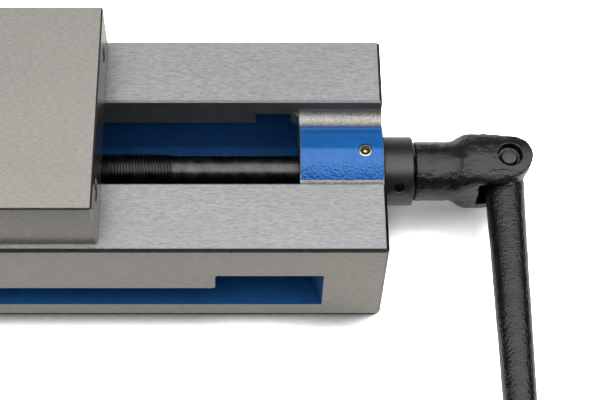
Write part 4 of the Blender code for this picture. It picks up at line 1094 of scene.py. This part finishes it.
def make_pin():
    """Pivot pin with rounded ends."""
    crown = 0.00012
    half = PIN_HALF - crown
    rim = 0.0007
    top = [(half + crown, 0.0), (half + 0.00005, PIN_RADIUS * 0.5)]
    top += arc((half - rim, PIN_RADIUS - rim), rim, 0, 90, 5)
    bottom = [(-along, out) for along, out in reversed(top)]
    pin = lathe("handle_pin_turned", top + bottom, PIN_CENTRE, PIN_AXIS, ALONG, 64)
    finish_off(pin, "pin", "screw_train", "black_steel", "handle_pin", angle=40.0)


def make_arm():
    """Cast tapered arm with its eye."""
    arm = copy_of("handle_arm", "handle_arm_cast")
    recast(arm, sizes().arm_grain, 5)
    uneven(arm, 0.014, 0.0003)
    keep_inside(arm, *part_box("handle_arm"))
    finish_off(arm, "arm", "arm", "black_enamel", "handle_arm", angle=60.0)


# Studio

CAMERA_PLACE = (0.1389, -0.4994, 0.8883)
CAMERA_TILT = math.radians(90 - 60.27)
CAMERA_LENS = 93.6
CAMERA_SHIFT = 0.0822
SENSOR = 36.0
FLOOR_SIZE = 60.0
FLOOR_SEEN = 4.4
FLOOR_MIRRORED = 1.4
# Contact shadow painted into the floor's colour for the camera: how far it reaches, how dark it gets and the way it
# leans.
PAINTED_SHADOW_REACH = 0.040
PAINTED_SHADOW_DARK = 0.01
PAINTED_SHADOW_LEAN = (0.50, 0.22, 0.84)
FLOOR_NEAR = 0.9
FLOOR_FAR = 1.6
ROOM_FRONT = 0.07
ROOM_DIM = 0.16
ROOM_WALL = 0.6
LAMP_HEIGHT = 1.5
LAMP_EDGES_X = (-3.4, -0.2, 2.6)
LAMP_EDGES_Y = {"left": (-1.03, -0.1, 0.60), "right": (-1.03, -0.1, 0.70)}
LAMP_LEVELS = {("left", "front"): 2.3, ("left", "back"): 1.8, ("right", "front"): 2.4, ("right", "back"): 1.8}
KEY_PLACE = (0.85, -0.02, 1.38)
KEY_AIM = (0.20, 0.0, 0.0)
KEY_WATTS = 6.0
KEY_SIZE = (0.35, 0.35)
CARDS = (("front_card", (-0.35, -0.157, 0.0), (0.275, -0.155, 0.14)),
         ("right_card", (0.475, -0.35, 0.0), (0.477, 0.30, 0.14)))


def placed(name, data, place):
    """New object with that data at a place."""
    holder = bpy.data.objects.new(name, data)
    bpy.context.scene.collection.objects.link(holder)
    holder.matrix_world = place
    return holder


def area_light(name, place, aim, size, watts):
    """Soft rectangular lamp that looks at a point."""
    lamp = bpy.data.lights.new(name, 'AREA')
    lamp.shape = 'RECTANGLE'
    lamp.size, lamp.size_y = size
    lamp.energy = watts
    direction = Vector(aim) - Vector(place)
    turn = direction.to_track_quat('-Z', 'Y').to_matrix().to_4x4()
    return placed(name, lamp, Matrix.Translation(place) @ turn)


def make_floor():
    """Pale floor: near the vise it keeps the lamps' shadow, with a contact shadow painted in for the camera from
    occlusion, and it is plain white far away.
    """
    clear_selection()
    bpy.ops.mesh.primitive_plane_add(size=FLOOR_SIZE, location=(0, 0, 0))
    floor = named("studio_floor")
    finish = Finish("studio_floor_paper", roughness=0.9)
    finish.shader.inputs["Specular IOR Level"].default_value = 0.0
    fibre = finish.noise(60, detail=2.0)
    paper = finish.tinted(colours().floor, finish.spread(fibre, 0.995, 1.005))
    path = finish.add("LightPath")
    mirrored = finish.times(path.outputs["Is Glossy Ray"], path.outputs["Is Transmission Ray"], 'MAXIMUM')
    seen = finish.times(path.outputs["Is Camera Ray"], mirrored, 'MAXIMUM')
    # Occlusion darkens the floor's colour for the camera near the vise: a painted contact shadow.
    lean = finish.add("CombineXYZ", X=PAINTED_SHADOW_LEAN[0], Y=PAINTED_SHADOW_LEAN[1], Z=PAINTED_SHADOW_LEAN[2]).outputs[0]
    painted_contact_shadow = finish.add("AmbientOcclusion", {"samples": 16}, Distance=PAINTED_SHADOW_REACH, Normal=lean).outputs["AO"]
    seen_gain_with_painted_shadow = finish.spread(painted_contact_shadow, FLOOR_SEEN * PAINTED_SHADOW_DARK, FLOOR_SEEN, 0.45, 0.97)
    direct = finish.add("Mix", {"data_type": 'FLOAT'}, _0=path.outputs["Is Camera Ray"], _2=1.0,
                        _3=seen_gain_with_painted_shadow).outputs[0]
    gain = finish.times(direct, finish.spread(mirrored, 1.0, FLOOR_MIRRORED, 0.0, 1.0))
    finish.set("Base Color", finish.tinted(paper, gain))
    away = finish.add("VectorMath", {"operation": 'LENGTH'}, _0=finish.place).outputs["Value"]
    white = finish.times(finish.spread(away, 0.0, 1.0, FLOOR_NEAR, FLOOR_FAR), seen)
    glow = finish.add("Emission", Strength=1.0).outputs[0]
    mixed = finish.add("MixShader", _0=white, _1=finish.shader.outputs[0], _2=glow).outputs[0]
    output = finish.tree.nodes["Material Output"]
    finish.tree.links.new(mixed, output.inputs["Surface"])
    floor.data.materials.append(finish.material)


def black_card(name, low, high):
    """Upright black card, seen only in reflections, as studios put beside glossy things."""
    card = block(name, low, high)
    finish = Finish(f"{name}_cloth", roughness=0.95)
    weave = finish.noise(900, detail=2.0)
    finish.set("Base Color", finish.tinted((0.02, 0.02, 0.02), finish.spread(weave, 0.8, 1.2)))
    card.data.materials.append(finish.material)
    card.visible_camera = card.visible_diffuse = card.visible_shadow = False


def make_world():
    """Dim studio room: darkest in front, lighter along the wall behind the vise."""
    world = bpy.data.worlds.new("studio_world")
    bpy.context.scene.world = world
    world.use_nodes = True
    tree = world.node_tree
    room = tree.nodes["Background"]
    direction = tree.nodes.new("ShaderNodeTexCoord").outputs["Generated"]
    parts = tree.nodes.new("ShaderNodeSeparateXYZ")
    tree.links.new(direction, parts.inputs[0])

    def fade(source, start, end, low, high):
        node = tree.nodes.new("ShaderNodeMapRange")
        node.interpolation_type = 'SMOOTHSTEP'
        for socket, value in (("From Min", start), ("From Max", end), ("To Min", low), ("To Max", high)):
            node.inputs[socket].default_value = value
        tree.links.new(parts.outputs[source], node.inputs["Value"])
        return node.outputs["Result"]

    def combined(first, second, operation):
        node = tree.nodes.new("ShaderNodeMath")
        node.operation = operation
        tree.links.new(first, node.inputs[0])
        tree.links.new(second, node.inputs[1])
        return node.outputs[0]

    wall = combined(fade("Y", 0.3, 0.9, 0.0, ROOM_WALL), fade("Z", 0.45, 0.05, 0.0, 1.0), 'MULTIPLY')
    level = combined(fade("Y", -0.3, 0.4, ROOM_FRONT, ROOM_DIM), wall, 'ADD')
    room.inputs["Color"].default_value = (1, 1, 1, 1)
    tree.links.new(level, room.inputs["Strength"])


def softboxes():
    """Four overhead softboxes side by side, brighter to the right and to the front."""
    for column, x_label in enumerate(("left", "right")):
        for row, y_label in enumerate(("front", "back")):
            low = (LAMP_EDGES_X[column], LAMP_EDGES_Y[x_label][row])
            high = (LAMP_EDGES_X[column + 1], LAMP_EDGES_Y[x_label][row + 1])
            size = (high[0] - low[0], high[1] - low[1])
            middle = ((low[0] + high[0]) / 2, (low[1] + high[1]) / 2)
            watts = LAMP_LEVELS[x_label, y_label] * math.pi * size[0] * size[1]
            lamp = area_light(f"{x_label}_{y_label}_softbox", (*middle, LAMP_HEIGHT), (*middle, 0.0), size, watts)
            lamp.visible_camera = False


def make_camera():
    """Camera at the photograph's angle."""
    camera = bpy.data.cameras.new("studio_camera")
    camera.sensor_width = SENSOR
    camera.lens = CAMERA_LENS
    camera.shift_x = CAMERA_SHIFT
    camera.clip_end = 10.0
    turn = Euler((CAMERA_TILT, 0, 0)).to_matrix().to_4x4()
    bpy.context.scene.camera = placed("studio_camera", camera, Matrix.Translation(CAMERA_PLACE) @ turn)


def make_stage():
    """Floor, surroundings, lamps and camera."""
    make_floor()
    make_world()
    make_camera()
    for card in CARDS:
        black_card(*card)
    softboxes()
    key = area_light("side_key", KEY_PLACE, KEY_AIM, KEY_SIZE, KEY_WATTS)
    key.visible_camera = key.visible_glossy = False
    bpy.context.scene.view_settings.view_transform = 'Standard'


# Operators and panel

class VISE_OT_bed(bpy.types.Operator):
    """Build the ground bed with its painted hollows and boss"""
    bl_idname = "vise.bed"
    bl_label = "Bed"

    def execute(self, context):
        make_bed()
        make_boss_paint()
        return {'FINISHED'}


class VISE_OT_jaws(bpy.types.Operator):
    """Build both jaw blocks and their tapped holes"""
    bl_idname = "vise.jaws"
    bl_label = "Jaws"

    def execute(self, context):
        make_jaws()
        return {'FINISHED'}


class VISE_OT_plates(bpy.types.Operator):
    """Build the hardened jaw plates"""
    bl_idname = "vise.plates"
    bl_label = "Jaw plates"

    def execute(self, context):
        make_plates()
        return {'FINISHED'}


class VISE_OT_screws(bpy.types.Operator):
    """Build the jaw bolts and the plates' cap screws"""
    bl_idname = "vise.screws"
    bl_label = "Cap screws"

    def execute(self, context):
        make_screws()
        return {'FINISHED'}


class VISE_OT_lead_screw(bpy.types.Operator):
    """Build the threaded lead screw"""
    bl_idname = "vise.lead_screw"
    bl_label = "Lead screw"

    def execute(self, context):
        make_lead_screw()
        return {'FINISHED'}


class VISE_OT_inner_pieces(bpy.types.Operator):
    """Finish the nut, the bearing, the bush, the seal and the other inner pieces"""
    bl_idname = "vise.inner_pieces"
    bl_label = "Nut and bearing"

    def execute(self, context):
        dress_inner_pieces()
        return {'FINISHED'}


class VISE_OT_collar(bpy.types.Operator):
    """Build the collar and its set screw"""
    bl_idname = "vise.collar"
    bl_label = "Collar"

    def execute(self, context):
        make_collar()
        return {'FINISHED'}


class VISE_OT_oiler(bpy.types.Operator):
    """Build the ball oiler's shell"""
    bl_idname = "vise.oiler"
    bl_label = "Ball oiler"

    def execute(self, context):
        make_oiler()
        return {'FINISHED'}


class VISE_OT_head(bpy.types.Operator):
    """Build the handle's fork head"""
    bl_idname = "vise.head"
    bl_label = "Handle head"

    def execute(self, context):
        make_head()
        return {'FINISHED'}


class VISE_OT_pin(bpy.types.Operator):
    """Build the pivot pin"""
    bl_idname = "vise.pin"
    bl_label = "Pivot pin"

    def execute(self, context):
        make_pin()
        return {'FINISHED'}


class VISE_OT_arm(bpy.types.Operator):
    """Build the handle's arm"""
    bl_idname = "vise.arm"
    bl_label = "Handle arm"

    def execute(self, context):
        make_arm()
        return {'FINISHED'}


class VISE_OT_stage(bpy.types.Operator):
    """Set up the floor, the lamps and the camera"""
    bl_idname = "vise.stage"
    bl_label = "Stage"

    def execute(self, context):
        make_stage()
        return {'FINISHED'}


OPERATORS = (VISE_OT_bed, VISE_OT_jaws, VISE_OT_plates, VISE_OT_screws, VISE_OT_lead_screw, VISE_OT_inner_pieces,
             VISE_OT_collar, VISE_OT_oiler, VISE_OT_head, VISE_OT_pin, VISE_OT_arm, VISE_OT_stage)


class VISE_PT_builder(bpy.types.Panel):
    """Lists the vise's pieces with their sizes and colours"""
    bl_idname = "VISE_PT_builder"
    bl_label = "Machine vise"
    bl_space_type = 'VIEW_3D'
    bl_region_type = 'UI'
    bl_category = "Vise"

    def draw(self, context):
        layout = self.layout
        for operator in OPERATORS:
            layout.operator(operator.bl_idname)
        for group in (context.scene.vise_sizes, context.scene.vise_colours):
            column = layout.column()
            for name in group.__annotations__:
                column.prop(group, name)


CLASSES = (ViseSizes, ViseColours, *OPERATORS, VISE_PT_builder)


def register():
    """Register the classes and put their properties on the scene."""
    for item in CLASSES:
        bpy.utils.register_class(item)
    bpy.types.Scene.vise_sizes = bpy.props.PointerProperty(type=ViseSizes)
    bpy.types.Scene.vise_colours = bpy.props.PointerProperty(type=ViseColours)


def unregister():
    """Take the classes and the properties away."""
    del bpy.types.Scene.vise_colours
    del bpy.types.Scene.vise_sizes
    for item in reversed(CLASSES):
        bpy.utils.unregister_class(item)


def main():
    """Build every piece and the stage."""
    register()
    FINISHES.update(make_finishes())
    for operator in OPERATORS:
        group, action = operator.bl_idname.split(".")
        getattr(getattr(bpy.ops, group), action)()


if __name__ == "__main__":
    main()
